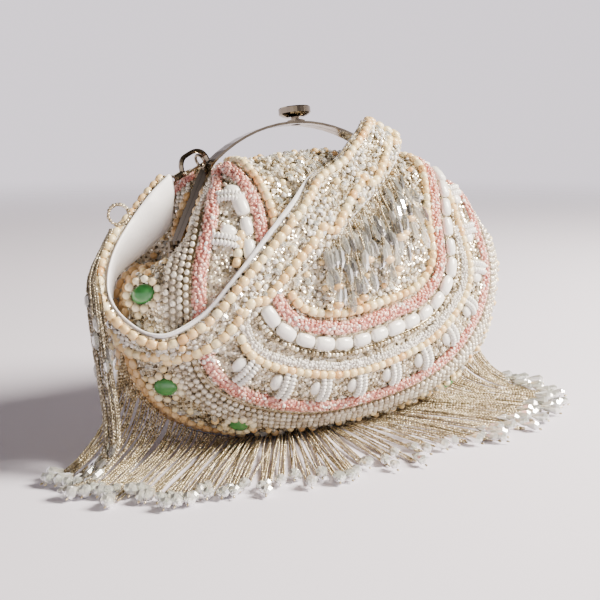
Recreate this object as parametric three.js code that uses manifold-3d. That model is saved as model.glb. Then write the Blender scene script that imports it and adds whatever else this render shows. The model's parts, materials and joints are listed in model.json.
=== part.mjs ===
// A beaded batua bag: a soft pouch gathered into an arched metal frame, with a padded strap laid
// across its front and a long bead fringe. Millimetres, +Z up, front towards -Y.
// The bag is drawn upright in its own frame, with the seam in the plane y = 0, and then leans back
// on its soft base. The origin is the middle of the flat patch that it rests on.

import * as THREE from 'three';
import { mergeVertices } from 'three/addons/utils/BufferGeometryUtils.js';
import Module from 'manifold-3d';

const wasm = await Module();
wasm.setup();

// Driving dimensions
const LEAN = THREE.MathUtils.degToRad(10);
const SINK = 6; // how far the soft base is pressed flat
const SEAM_FORWARD = 17; // from the seam to the middle of the rest patch
const GAP = 0.3; // clearance between pieces that meet

const POUCH = {
  halfWidth: 121,
  bellyZ: 70, // height of the fullest point
  drop: 66, // from there down to the seam
  shoulder: 58, // from there up to the widest part's end
  bulge: 57, // depth of each half
  topZ: 160, // free edge between the frame's bends
  wall: 2.5,
  roundness: 2.4, // exponent of the belly and of the lower seam
  shoulderRoundness: 2.6,
  puff: 30, // how far the gathered cloth swells past the frame's legs
};
const FRAME = {
  hinge: { x: 89, z: 107 },
  bend: { x: 62, z: 153 },
  apexZ: 176,
  width: 5,
  thickness: 1.4,
  bendReach: 5, // length of each bend's round part
};
const FABRIC_BEHIND_FRAME = 2.7; // the cloth's edge lies behind the middle of its strip
const MOUTH_INSET = 1.5; // and below the strip's underside
// The cloth's edge dips under the hinge ears
const HINGE_NOTCH = { depth: 12, halfAngle: 0.1, sharpness: 14 };
const KNOB = { radius: 9.25, wallHeight: 3.6, bowlHeight: 2.2, stemRadius: 2.4, travel: 1.2 };
const RING = { radius: 3.6, wire: 0.8, y: 2.7 };
const STRAP = { steps: 48, across: 3, thickness: 2.0 };
const FRINGE = {
  halfSpanDeg: 88,
  rootThickness: 1.7,
  tipThickness: 5.6,
  offset: 2.2, // from the seam's edge to the strands
  frontStart: 16.5, // how far out from under the belly its low middle part begins
  highRoot: 34, // height from which a strand hangs clear of the belly
  bendAt: 0.24, // where along its way out a strand meets the floor
  bendHeight: 0.12, // and how high it still is there, as a share of its root's height
};
const TIPS = { x: -7, y: -14, halfWidth: 169, depth: 94, roundness: 2.6 };
const OVAL = { length: 11, width: 7.4, height: 5, pitch: 11.4 };
const OVAL_ROUTE = { x: -9, z: 100, halfWidth: 72, drop: 45, riseX: 8, riseZ: 24 };
const CABOCHON = { length: 12.4, width: 9.8, height: 4.2, girdle: 1.2 };
const BEAD_LOOP = { radius: 5.2, wire: 1.1, at: [-118.2, -3, 129.9], tip: Math.PI / 2, turn: 0.6 };

// Pleats gathered under the mouth: where they run, how wide they are, and how deep
const PLEATS = [
  { angleDeg: 122, widthDeg: 5, depth: 0.15 },
  { angleDeg: 97, widthDeg: 4, depth: 0.11 },
  { angleDeg: 70, widthDeg: 5, depth: 0.12 },
];

// Stones near the seam: direction from the belly's middle, and how far out to the rim
const STONES = [
  { angleDeg: 171, reach: 0.945, turnDeg: 20 },
  { angleDeg: 194, reach: 0.965, turnDeg: 5 },
  { angleDeg: 215.5, reach: 0.945, turnDeg: 35 },
  { angleDeg: 9, reach: 0.945, turnDeg: -20 },
  { angleDeg: -14, reach: 0.965, turnDeg: -5 },
  { angleDeg: -35.5, reach: 0.945, turnDeg: -35 },
];

// The strap's two edges from the left clasp round the bag's left end, in the bag's upright frame
const STRAP_LEFT = [
  { upper: [-86, -1, 149.5], lower: [-83, 4, 138.5] },
  { upper: [-97.5, -2, 140.5], lower: [-87, 2.5, 124] },
  { upper: [-110, -3, 128.5], lower: [-101, 3.5, 112] },
  { upper: [-124, -7.5, 114], lower: [-119.5, 6.5, 98.5] },
  { upper: [-132.5, -12.5, 100.5], lower: [-124, 6, 86.5] },
  { upper: [-136, -19.5, 88], lower: [-126, 0, 77] },
  { upper: [-132.5, -27.5, 77], lower: [-126, -9.5, 66] },
  { upper: [-126, -36, 69.5], lower: [-121.5, -20, 59] },
  { upper: [-118.5, -41.5, 67.5], lower: [-114.5, -30, 56.5] },
];
// Its edges where it lies on the front panel: x and z on the panel, and how far they stand off it
const STRAP_FRONT = [
  { upper: [-99, 75.5, 6.5], lower: [-92, 60.5, 4] },
  { upper: [-83, 90, 5.5], lower: [-72, 76.5, 4] },
  { upper: [-64, 107, 5], lower: [-49, 91, 4] },
  { upper: [-43, 125, 5], lower: [-26, 106, 4] },
  { upper: [-25, 138, 5], lower: [-7, 119, 4] },
];
// Its edges where it crosses the top and turns down to the right clasp
const STRAP_RIGHT = [
  { upper: [-9, -45, 149], lower: [10, -51, 130.5] },
  { upper: [5, -41, 159], lower: [27, -46, 142.5] },
  { upper: [18.5, -34.5, 168], lower: [43, -37, 154] },
  { upper: [25.5, -27, 171], lower: [51, -28.5, 159.5] },
  { upper: [31.5, -19.5, 169], lower: [57, -21, 159.5] },
  { upper: [35, -14.5, 165], lower: [58, -17, 158.5] },
];

// Bag colours: base colour, roughness and metalness of each material
const material = (color, roughness, metalness = 0) =>
  new THREE.MeshStandardMaterial({ color, roughness, metalness });
const BEADED_CLOTH = material(0xd8d0c4, 0.55);
const SATIN = material(0xf1ecf2, 0.6);
const NICKEL = material(0xc4bfb4, 0.18, 1);
const SEED_STRANDS = material(0xc9bea8, 0.35);
const WHITE_GLASS = material(0xf6f4f0, 0.25);
const GREEN_STONE = material(0x4f9a54, 0.2);

// Small maths
const vec = (p) => new THREE.Vector3(...p);
const clamp01 = (v) => Math.min(1, Math.max(0, v));
const smoothstep = (v) => {
  const t = clamp01(v);
  return t * t * (3 - 2 * t);
};
const mix = THREE.MathUtils.lerp;
const degrees = THREE.MathUtils.degToRad;

// The bag's upright frame to the surface that it stands on
function lean(p) {
  const y = p.y * Math.cos(LEAN) + p.z * Math.sin(LEAN) - SEAM_FORWARD;
  const z = -p.y * Math.sin(LEAN) + p.z * Math.cos(LEAN) - SINK;
  return new THREE.Vector3(p.x, y, z);
}

// Closed solids for joining and cutting
function solid(geometry) {
  const bare = new THREE.BufferGeometry();
  bare.setAttribute('position', geometry.getAttribute('position').clone());
  if (geometry.index) bare.setIndex(geometry.index.clone());
  const merged = mergeVertices(bare, 1e-4);
  return new wasm.Manifold(new wasm.Mesh({
    numProp: 3,
    vertProperties: Float32Array.from(merged.getAttribute('position').array),
    triVerts: Uint32Array.from(merged.index.array),
  }));
}

function geometryOf(manifold) {
  const { vertProperties, triVerts } = manifold.getMesh();
  const geometry = new THREE.BufferGeometry();
  geometry.setAttribute('position', new THREE.BufferAttribute(vertProperties, 3));
  geometry.setIndex(new THREE.BufferAttribute(triVerts, 1));
  return geometry;
}

const joined = (...pieces) => geometryOf(pieces.map(solid).reduce((all, piece) => all.add(piece)));
const drilled = (body, ...tools) =>
  geometryOf(tools.map(solid).reduce((left, tool) => left.subtract(tool), solid(body)));

// A wall between two grids of points of the same size, with its edges closed. A grid is a list of rows.
function wall(outer, inner) {
  const rows = outer.length;
  const columns = outer[0].length;
  const points = [...outer.flat(), ...inner.flat()];
  const id = (side, i, j) => side * rows * columns + i * columns + j;
  const triangles = [];
  const quad = (a, b, c, d) => triangles.push(a, b, c, a, c, d);
  const last = columns - 1;
  for (let i = 0; i < rows - 1; i += 1) {
    for (let j = 0; j < last; j += 1) {
      quad(id(0, i, j), id(0, i, j + 1), id(0, i + 1, j + 1), id(0, i + 1, j));
      quad(id(1, i, j), id(1, i + 1, j), id(1, i + 1, j + 1), id(1, i, j + 1));
    }
  }
  for (let j = 0; j < last; j += 1) {
    quad(id(0, 0, j), id(1, 0, j), id(1, 0, j + 1), id(0, 0, j + 1));
    quad(id(0, rows - 1, j), id(0, rows - 1, j + 1), id(1, rows - 1, j + 1), id(1, rows - 1, j));
  }
  for (let i = 0; i < rows - 1; i += 1) {
    quad(id(0, i, 0), id(0, i + 1, 0), id(1, i + 1, 0), id(1, i, 0));
    quad(id(0, i, last), id(1, i, last), id(1, i + 1, last), id(0, i + 1, last));
  }
  return facingOut(points, triangles);
}

// A geometry from points and triangles, turned so that its faces point outwards
function facingOut(points, triangles) {
  let volume = 0;
  for (let k = 0; k < triangles.length; k += 3) {
    const [a, b, c] = [0, 1, 2].map((n) => points[triangles[k + n]]);
    volume += a.dot(b.clone().cross(c));
  }
  const faces = volume > 0 ? triangles : triangles.toReversed();
  const geometry = new THREE.BufferGeometry().setFromPoints(points);
  geometry.setIndex(faces);
  return geometry;
}

// The unit normal of a surface given as a function of two numbers
function normalOf(surface, u, v, step = 0.002) {
  const alongU = surface(u + step, v).sub(surface(u - step, v));
  const alongV = surface(u, v + step).sub(surface(u, v - step));
  return alongU.cross(alongV).normalize();
}

// The pouch. Each half is a belly whose rim is the seam below the hinges and the mouth above them.
const HINGE_ANGLE = Math.atan2(FRAME.hinge.z - POUCH.bellyZ, FRAME.hinge.x);
const BEND_ANGLE = Math.atan2(FRAME.bend.z - POUCH.bellyZ, FRAME.bend.x);
const MOUTH_BLEND = 0.16; // angle over which the seam runs up into the mouth, at the rim
const BELLY_BLEND = 0.75; // and the wider angle at the belly
const MOUTH_START = HINGE_ANGLE - 0.06; // the middle of that angle, just below the hinge
const PUFF_PEAK = 0.08; // where between hinge and apex the cloth swells most
const PUFF_SPREAD = 0.36;
const PUFF_SHAPE = 3.4;

function seamRadius(angle) {
  const low = angle < 0;
  const height = low ? POUCH.drop : POUCH.shoulder;
  const power = low ? POUCH.roundness : POUCH.shoulderRoundness;
  const across = (Math.abs(Math.cos(angle)) / POUCH.halfWidth) ** power;
  const up = (Math.abs(Math.sin(angle)) / height) ** power;
  return (across + up) ** (-1 / power);
}

function mouthRadius(angle) {
  const { hinge, bend } = FRAME;
  const direction = { x: Math.cos(angle), z: Math.sin(angle) };
  const top = { x: 0, z: POUCH.topZ };
  const [a, b] = angle < BEND_ANGLE ? [hinge, bend] : [bend, top];
  const run = { x: b.x - a.x, z: b.z - a.z };
  const start = { x: a.x, z: a.z - POUCH.bellyZ };
  const crossing = direction.x * run.z - direction.z * run.x;
  return (start.x * run.z - start.z * run.x) / crossing - MOUTH_INSET;
}

function pleatDepth(phi) {
  const angle = THREE.MathUtils.euclideanModulo(THREE.MathUtils.radToDeg(phi), 360);
  const fold = (p) => p.depth * Math.exp(-(((angle - p.angleDeg) / p.widthDeg) ** 2));
  return PLEATS.reduce((sum, p) => sum + fold(p), 0);
}

// A point of the pouch in the upright frame: reach goes from 0 at the belly to 1 at the rim, and
// pleats is 1 on the cloth itself and 0 on the smooth form that things laid over it follow
function pouchPoint(side, reach, phi, pleats = 0) {
  const folded = Math.atan2(Math.sin(phi), Math.abs(Math.cos(phi)));
  const blend = mix(BELLY_BLEND, MOUTH_BLEND, reach ** 6);
  const above = smoothstep((folded - MOUTH_START) / blend + 0.5);
  const mouth = above > 0 ? mouthRadius(folded) : 0;
  const atHinge = Math.exp(-(((folded - HINGE_ANGLE) / HINGE_NOTCH.halfAngle) ** 2));
  const notch = HINGE_NOTCH.depth * atHinge * reach ** HINGE_NOTCH.sharpness;
  const rim = mix(seamRadius(folded), mouth, above) - notch;
  const climb = (folded - HINGE_ANGLE) / (Math.PI / 2 - HINGE_ANGLE);
  const puff = POUCH.puff * Math.exp(-(((climb - PUFF_PEAK) / PUFF_SPREAD) ** 2));
  const radius = rim * reach + puff * PUFF_SHAPE * reach ** 3 * (1 - reach ** 3);
  const rimY = GAP / 2 + above * FABRIC_BEHIND_FRAME;
  const crown = Math.max(0, 1 - reach ** POUCH.roundness) ** (1 / POUCH.roundness);
  const pleat = 1 - pleats * pleatDepth(phi) * smoothstep((reach - 0.48) / 0.35);
  const y = rimY + (POUCH.bulge - rimY) * crown * pleat;
  return new THREE.Vector3(radius * Math.cos(phi), side * y, POUCH.bellyZ + radius * Math.sin(phi));
}

// The point that lies over x, z on a panel, lifted off it along its normal
function onPanel(side, x, z, lift) {
  const phi = Math.atan2(z - POUCH.bellyZ, x);
  const target = Math.hypot(x, z - POUCH.bellyZ);
  let [near, far] = [0.001, 0.9];
  for (let k = 0; k < 30; k += 1) {
    const middle = (near + far) / 2;
    const p = pouchPoint(side, middle, phi);
    const reached = Math.hypot(p.x, p.z - POUCH.bellyZ);
    if (reached < target) near = middle;
    else far = middle;
  }
  return { point: liftedPoint(side, near, phi, lift), normal: panelNormal(side, near, phi) };
}

function panelNormal(side, reach, phi, pleats = 0) {
  const normal = normalOf((r, a) => pouchPoint(side, r, a, pleats), Math.max(reach, 0.02), phi);
  return Math.sign(normal.y) === side ? normal : normal.negate();
}

function liftedPoint(side, reach, phi, lift) {
  return pouchPoint(side, reach, phi).addScaledVector(panelNormal(side, reach, phi), lift);
}

const PANEL_RINGS = [0.2, 0.45, 0.66, 0.82, 0.92, 0.98, 1];
const PANEL_SPOKES = panelSpokes();

// Directions of the panel's mesh lines: every few degrees, and closer at the hinges
function panelSpokes() {
  const step = 7.5;
  const even = Array.from({ length: 360 / step }, (_, k) => degrees(k * step));
  const extra = [-0.06, 0.06].flatMap((turn) => [HINGE_ANGLE + turn, Math.PI - HINGE_ANGLE + turn]);
  return [...even, ...extra].sort((a, b) => a - b);
}

function panelGeometry(side) {
  const outer = [];
  const inner = [];
  for (const reach of PANEL_RINGS) {
    const outerRing = [];
    const innerRing = [];
    for (const phi of PANEL_SPOKES) {
      const point = pouchPoint(side, reach, phi, 1);
      const normal = new THREE.Vector3(Math.cos(phi), 0, Math.sin(phi));
      if (reach < 1) normal.copy(panelNormal(side, reach, phi, 1));
      const inside = point.clone().addScaledVector(normal, -POUCH.wall);
      inside.y = side * Math.max(side * inside.y, GAP / 2);
      outerRing.push(pressed(point, 0));
      innerRing.push(pressed(inside, POUCH.wall));
    }
    outer.push(outerRing);
    inner.push(innerRing);
  }
  return cappedShell(side, outer, inner);
}

// Leans a point of the cloth and presses it flat on the surface below
function pressed(point, lowest) {
  const placed = lean(point);
  placed.z = Math.max(placed.z, lowest);
  return placed;
}

// Two wrapped grids joined at the rim, each closed by a fan at the middle of the belly
function cappedShell(side, outer, inner) {
  const rings = outer.length;
  const spokes = outer[0].length;
  const middle = pouchPoint(side, 0, 0);
  const inside = middle.clone();
  inside.y -= side * POUCH.wall;
  const points = [...outer.flat(), ...inner.flat(), lean(middle), lean(inside)];
  const half = rings * spokes;
  const id = (layer, i, j) => layer * half + i * spokes + (j % spokes);
  const triangles = [];
  for (let j = 0; j < spokes; j += 1) {
    triangles.push(2 * half, id(0, 0, j + 1), id(0, 0, j));
    triangles.push(2 * half + 1, id(1, 0, j), id(1, 0, j + 1));
    for (let i = 0; i < rings - 1; i += 1) {
      const [a, b, c, d] = [id(0, i, j), id(0, i, j + 1), id(0, i + 1, j + 1), id(0, i + 1, j)];
      triangles.push(a, b, c, a, c, d);
      const [e, f, g, h] = [id(1, i, j), id(1, i, j + 1), id(1, i + 1, j + 1), id(1, i + 1, j)];
      triangles.push(e, g, f, e, h, g);
    }
    const rim = rings - 1;
    const [a, b, c, d] = [id(0, rim, j), id(0, rim, j + 1), id(1, rim, j + 1), id(1, rim, j)];
    triangles.push(a, b, c, a, c, d);
  }
  return facingOut(points, triangles);
}

// The frame: two arched strips side by side, riveted together through ears at the hinges
const ARCH_RISE = FRAME.apexZ - FRAME.bend.z;
const ARCH_RADIUS = (FRAME.bend.x ** 2 + ARCH_RISE ** 2) / (2 * ARCH_RISE);
const ARCH_CENTRE_Z = FRAME.apexZ - ARCH_RADIUS;
const LEG_SLOPE = (FRAME.hinge.x - FRAME.bend.x) / (FRAME.bend.z - FRAME.hinge.z);

function archLine(legEndZ) {
  const half = Math.asin(FRAME.bend.x / ARCH_RADIUS);
  const round = FRAME.bendReach / ARCH_RADIUS;
  const legRun = new THREE.Vector2(LEG_SLOPE, -1).normalize().multiplyScalar(FRAME.bendReach);
  const line = new THREE.Path();
  const legEndX = FRAME.hinge.x - LEG_SLOPE * (legEndZ - FRAME.hinge.z);
  line.moveTo(legEndX, legEndZ);
  line.lineTo(FRAME.bend.x + legRun.x, FRAME.bend.z + legRun.y);
  const start = Math.PI / 2 - half + round;
  const end = Math.PI / 2 + half - round;
  const onArch = (a) => [ARCH_RADIUS * Math.cos(a), ARCH_CENTRE_Z + ARCH_RADIUS * Math.sin(a)];
  line.quadraticCurveTo(FRAME.bend.x, FRAME.bend.z, ...onArch(start));
  line.absarc(0, ARCH_CENTRE_Z, ARCH_RADIUS, start, end, false);
  line.quadraticCurveTo(-FRAME.bend.x, FRAME.bend.z, -FRAME.bend.x - legRun.x, FRAME.bend.z + legRun.y);
  line.lineTo(-legEndX, legEndZ);
  return line.getPoints(8);
}

// A strip of the frame between two values of y
function stripGeometry(legEndZ, nearY) {
  const line = archLine(legEndZ).filter((p, k, all) => k === 0 || p.distanceTo(all[k - 1]) > 0.01);
  const sideOf = (offset) => line.map((p, k) => {
    const before = line[Math.max(k - 1, 0)];
    const after = line[Math.min(k + 1, line.length - 1)];
    const run = after.clone().sub(before).normalize();
    return new THREE.Vector2(p.x + run.y * offset, p.y - run.x * offset);
  });
  const half = FRAME.thickness / 2;
  const outline = new THREE.Shape([...sideOf(half), ...sideOf(-half).reverse()]);
  const strip = new THREE.ExtrudeGeometry(outline, { depth: FRAME.width, bevelEnabled: false });
  return strip.rotateX(Math.PI / 2).translate(0, nearY, 0);
}

const EAR = { radius: 3, neckTopZ: 114.5, thickness: 2, holeRadius: 1.4, pinRadius: 1.1 };
const FRONT_EAR_X = 84.6; // inner face of each front ear
const BACK_EAR_X = 87; // inner face of each back ear, outside the front one
const FRONT_LEG_END_Z = 111.6;
const BACK_LEG_END_Z = 110.7;
const STRIP_Y = 0.2; // half of the gap between the strips

function alongX(geometry, x) {
  return geometry.rotateZ(-Math.PI / 2).translate(x, 0, FRAME.hinge.z);
}

function earGeometry(sign, innerX, side) {
  const middleX = sign * (innerX + EAR.thickness / 2);
  const disc = alongX(new THREE.CylinderGeometry(EAR.radius, EAR.radius, EAR.thickness, 14), middleX);
  const neckHeight = EAR.neckTopZ - FRAME.hinge.z;
  const neckWidth = FRAME.width - 2.4;
  const neck = new THREE.BoxGeometry(EAR.thickness, neckWidth, neckHeight);
  const neckY = side * (STRIP_Y + 0.4 + neckWidth / 2);
  neck.translate(middleX, neckY, FRAME.hinge.z + neckHeight / 2);
  const hole = new THREE.CylinderGeometry(EAR.holeRadius, EAR.holeRadius, EAR.thickness + 2, 10);
  return drilled(joined(disc, neck), alongX(hole, middleX));
}

function rivetGeometry(sign) {
  const headRadius = 2.2;
  const headHeight = 0.9;
  const inner = FRONT_EAR_X - GAP;
  const outer = BACK_EAR_X + EAR.thickness + GAP;
  const profile = [
    [0, inner - headHeight], [headRadius * 0.7, inner - headHeight], [headRadius, inner - headHeight / 2],
    [headRadius, inner], [EAR.pinRadius, inner], [EAR.pinRadius, outer], [headRadius, outer],
    [headRadius, outer + headHeight / 2], [headRadius * 0.7, outer + headHeight], [0, outer + headHeight],
  ].map(([r, x]) => new THREE.Vector2(r, x));
  const rivet = new THREE.LatheGeometry(profile, 10);
  return rivet.rotateZ(-sign * Math.PI / 2).translate(0, 0, FRAME.hinge.z);
}

// The lock: a collar soldered on the front strip, and a round knob that is pushed down into it
const ARCH_TOP = FRAME.apexZ + FRAME.thickness / 2;
const COLLAR = { bottom: ARCH_TOP + GAP, top: ARCH_TOP + 1.1, radius: 4.8, bore: 2.8 };
const KNOB_BOTTOM = COLLAR.top + KNOB.travel + GAP;

function collarGeometry() {
  const ring = new THREE.LatheGeometry([
    [COLLAR.bore, COLLAR.bottom], [COLLAR.radius, COLLAR.bottom], [COLLAR.radius, COLLAR.top],
    [COLLAR.bore, COLLAR.top], [COLLAR.bore, COLLAR.bottom],
  ].map(([r, z]) => new THREE.Vector2(r, z)), 20);
  ring.rotateX(Math.PI / 2);
  const solderLength = 7;
  const solderWidth = 1.6;
  const solderHeight = 1.4;
  const solder = new THREE.BoxGeometry(solderLength, solderWidth, solderHeight);
  solder.translate(0, -COLLAR.bore - solderWidth / 2, ARCH_TOP);
  return joined(ring, solder);
}

// The hole through the strips that the knob's stem moves in
function stemBore() {
  const bore = new THREE.CylinderGeometry(COLLAR.bore, COLLAR.bore, 8, 12);
  return bore.rotateX(Math.PI / 2).translate(0, 0, FRAME.apexZ);
}

function knobGeometry() {
  const bowlTop = KNOB_BOTTOM + KNOB.bowlHeight;
  const top = bowlTop + KNOB.wallHeight;
  const stemBottom = ARCH_TOP - FRAME.thickness / 2;
  const edge = 0.5;
  const profile = [
    [0, stemBottom], [KNOB.stemRadius, stemBottom], [KNOB.stemRadius, KNOB_BOTTOM],
    [COLLAR.radius + 0.4, KNOB_BOTTOM], [KNOB.radius * 0.76, KNOB_BOTTOM + KNOB.bowlHeight * 0.3],
    [KNOB.radius * 0.92, KNOB_BOTTOM + KNOB.bowlHeight * 0.65], [KNOB.radius, bowlTop],
    [KNOB.radius, top - edge], [KNOB.radius - edge, top], [0, top],
  ].map(([r, z]) => new THREE.Vector2(r, z));
  return new THREE.LatheGeometry(profile, 28).rotateX(Math.PI / 2);
}

// A round wire along a curve
function wireGeometry(curve, radius, steps, sides = 6) {
  const section = new THREE.Shape();
  section.absarc(0, 0, radius, 0, 2 * Math.PI, false);
  // A full circle gets two points for each curve segment
  const settings = { steps, extrudePath: curve, curveSegments: sides / 2, bevelEnabled: false };
  return new THREE.ExtrudeGeometry(section, settings);
}

// A clasp lies along its own x axis, from the ring on the frame towards the strap. The ring stands
// on the frame with its hole along x, and z points away from the frame.
const HOOK = { wire: 1.35, crownZ: 9.9 };
const BARREL = { x: 14.2, z: 3.2, radius: 1.9, length: 4.6 };
const GATE = { pivotX: 11.4, z: 2.1, tipX: -2.6, width: 2, thickness: 1.2, pinRadius: 0.6, bossRadius: 1.1 };
const CHEEK = { length: 4.6, thickness: 0.8, height: 2.4 };
const EYE = { radius: 2.1, wire: 0.7, x: 20.9 };
const RING_HEIGHT = RING.radius + 0.2;

function hookGeometry() {
  const route = new THREE.CatmullRomCurve3([
    [BARREL.x, 0, BARREL.z], [13, 0, 4.7], [11.8, 0, 7.4], [9, 0, HOOK.crownZ],
    [4.5, 0, HOOK.crownZ + 0.5], [0, 0, HOOK.crownZ], [-3.2, 0, 7.8], [-4.4, 0, 5], [-4.4, 0, 2],
  ].map(vec), false, 'centripetal');
  const hook = wireGeometry(route, HOOK.wire, 18, 6);
  const barrel = new THREE.CylinderGeometry(BARREL.radius, BARREL.radius, BARREL.length, 12);
  barrel.rotateZ(Math.PI / 2).translate(BARREL.x + BARREL.length / 2 - 0.4, 0, BARREL.z);
  const eye = new THREE.TorusGeometry(EYE.radius, EYE.wire, 6, 12);
  eye.rotateX(Math.PI / 2).translate(EYE.x, 0, BARREL.z);
  return joined(hook, barrel, eye, ...hookCheeks());
}

// Two small cheeks under the barrel that hold the gate's pin
function hookCheeks() {
  const cheekY = GATE.width / 2 + GAP + CHEEK.thickness / 2;
  const pinLength = 2 * cheekY + CHEEK.thickness / 2;
  const pin = new THREE.CylinderGeometry(GATE.pinRadius, GATE.pinRadius, pinLength, 10);
  pin.translate(GATE.pivotX, 0, GATE.z);
  const cheeks = [-1, 1].map((side) => {
    const cheek = new THREE.BoxGeometry(CHEEK.length, CHEEK.thickness, CHEEK.height);
    return cheek.translate(GATE.pivotX + 1.3, side * cheekY, GATE.z + 0.5);
  });
  return [pin, ...cheeks];
}

// The gate: a flat tongue that swings on its pin and closes against the hook's tip
function gateGeometry() {
  const length = GATE.pivotX - GATE.tipX;
  const tongue = new THREE.BoxGeometry(length, GATE.width, GATE.thickness);
  tongue.translate(-length / 2, 0, 0);
  const boss = new THREE.CylinderGeometry(GATE.bossRadius, GATE.bossRadius, GATE.width, 14);
  const bore = new THREE.CylinderGeometry(GATE.pinRadius + GAP, GATE.pinRadius + GAP, GATE.width + 2, 12);
  return drilled(joined(tongue, boss), bore);
}

// Where a clasp stands on the frame's back strip: its seat and the way that it points
const CLASP_LEFT = { seat: [-62.3, RING.y, 153.0], towards: [-83.9, 2.2, 142.4] };
const CLASP_RIGHT = { seat: [62.3, RING.y, 153.0], towards: [48.5, -13.5, 162.5] };

function claspMatrix({ seat, towards }) {
  const along = vec(towards).sub(vec(seat)).normalize();
  const outward = new THREE.Vector3(Math.sign(seat[0]) * 0.55, 0, 0.84);
  const across = outward.clone().cross(along).normalize();
  const up = along.clone().cross(across).normalize();
  return new THREE.Matrix4().makeBasis(along, across, up).setPosition(vec(seat));
}

function ringGeometry(clasp) {
  const ring = new THREE.TorusGeometry(RING.radius, RING.wire, 6, 16);
  ring.rotateY(Math.PI / 2).translate(0, 0, RING_HEIGHT);
  return ring.applyMatrix4(claspMatrix(clasp));
}

function frameFront() {
  const strip = stripGeometry(FRONT_LEG_END_Z, -STRIP_Y);
  const ears = [-1, 1].map((sign) => earGeometry(sign, FRONT_EAR_X, -1));
  return joined(drilled(strip, stemBore()), ...ears, collarGeometry());
}

function frameBack() {
  const strip = stripGeometry(BACK_LEG_END_Z, STRIP_Y + FRAME.width);
  const ears = [-1, 1].map((sign) => earGeometry(sign, BACK_EAR_X, 1));
  return joined(drilled(strip, stemBore()), ...ears, ringGeometry(CLASP_LEFT), ringGeometry(CLASP_RIGHT));
}

// The strap: three guide lines, one at each edge and one along the middle, carry both layers
function strapGuides() {
  const lines = [[], [], []];
  const addFree = ({ upper, lower }) => {
    lines[0].push(vec(upper));
    lines[1].push(vec(upper).lerp(vec(lower), 0.5));
    lines[2].push(vec(lower));
  };
  const addLaid = ({ upper, lower }) => {
    const middle = upper.map((value, k) => (value + lower[k]) / 2);
    [upper, middle, lower].forEach(([x, z, lift], k) => lines[k].push(onPanel(-1, x, z, lift).point));
  };
  STRAP_LEFT.forEach(addFree);
  STRAP_FRONT.forEach(addLaid);
  STRAP_RIGHT.forEach(addFree);
  return lines.map((points) => new THREE.CatmullRomCurve3(points, false, 'centripetal'));
}

const STRAP_GUIDES = strapGuides();

// A point of the strap's middle surface: s runs along it and t from its upper to its lower edge
function strapPoint(s, t) {
  const along = clamp01(s);
  const [upper, middle, lower] = STRAP_GUIDES.map((guide) => guide.getPoint(along));
  const bow = middle.sub(upper.clone().lerp(lower, 0.5)).multiplyScalar(4 * t * (1 - t));
  return upper.lerp(lower, t).add(bow);
}

function strapNormal(s, t) {
  const inside = Math.min(0.996, Math.max(0.004, s));
  return normalOf(strapPoint, inside, t).negate();
}

// A layer of the strap between two heights above its middle surface
function strapLayer(low, high) {
  const grid = (height) => Array.from({ length: STRAP.steps + 1 }, (_, i) =>
    Array.from({ length: STRAP.across + 1 }, (__, j) => {
      const [s, t] = [i / STRAP.steps, j / STRAP.across];
      return strapPoint(s, t).addScaledVector(strapNormal(s, t), height);
    }));
  return wall(grid(high), grid(low));
}

// The fringe: a skirt of strands from the seam, down to the floor and out over it
function fringePoint(t, s) {
  const phi = -Math.PI / 2 + t * degrees(FRINGE.halfSpanDeg);
  const seam = pouchPoint(-1, 1, phi);
  seam.y = 0;
  seam.add(new THREE.Vector3(Math.cos(phi), 0, Math.sin(phi)).multiplyScalar(FRINGE.offset));
  const root = lean(seam);
  const turn = t * degrees(FRINGE.halfSpanDeg);
  const power = 2 / TIPS.roundness;
  const tip = new THREE.Vector3(
    TIPS.x + TIPS.halfWidth * Math.sign(turn) * Math.abs(Math.sin(turn)) ** power,
    TIPS.y - TIPS.depth * Math.sign(Math.cos(turn)) * Math.abs(Math.cos(turn)) ** power,
    0,
  );
  const low = 1 - smoothstep(root.z / FRINGE.highRoot);
  const outward = tip.clone().sub(root).setZ(0).normalize();
  root.addScaledVector(outward, FRINGE.frontStart * low);
  const middle = root.clone().lerp(tip, FRINGE.bendAt).setZ(FRINGE.bendHeight * root.z);
  const curve = new THREE.QuadraticBezierCurve3(root, middle, tip);
  const point = curve.getPoint(s);
  point.z = Math.max(point.z, fringeThickness(s) / 2 + 0.1);
  return point;
}

function fringeThickness(s) {
  return mix(FRINGE.rootThickness, FRINGE.tipThickness, smoothstep((s - 0.55) / 0.4));
}

function fringeGeometry() {
  const stations = 38;
  const steps = 6;
  const grid = (side) => Array.from({ length: stations + 1 }, (_, i) =>
    Array.from({ length: steps + 1 }, (__, j) => {
      const t = mix(-0.998, 0.998, i / stations);
      const s = mix(0.001, 0.999, j / steps);
      const normal = normalOf(fringePoint, t, s, 0.001);
      const point = fringePoint(t, s).addScaledVector(normal, (side * fringeThickness(s)) / 2);
      point.z = Math.max(point.z, 0.1);
      return point;
    }));
  return wall(grid(1), grid(-1));
}

// The strands that hang from the strap's lower edge over the middle of the front
const FRONT_STRANDS = { fromX: -19, toX: 34, startZ: 109.2, slope: 0.62, length: 44, low: 4.2, high: 8 };

function frontStrandsGeometry() {
  const columns = 12;
  const rows = 6;
  const { fromX, toX, startZ, slope, length, low, high } = FRONT_STRANDS;
  const grid = (lift) => Array.from({ length: columns + 1 }, (_, i) =>
    Array.from({ length: rows + 1 }, (__, j) => {
      const x = mix(fromX, toX, i / columns);
      const z = startZ + slope * (x - fromX) - (length * j) / rows;
      return onPanel(-1, x, z, lift).point;
    }));
  return wall(grid(high), grid(low));
}

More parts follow.
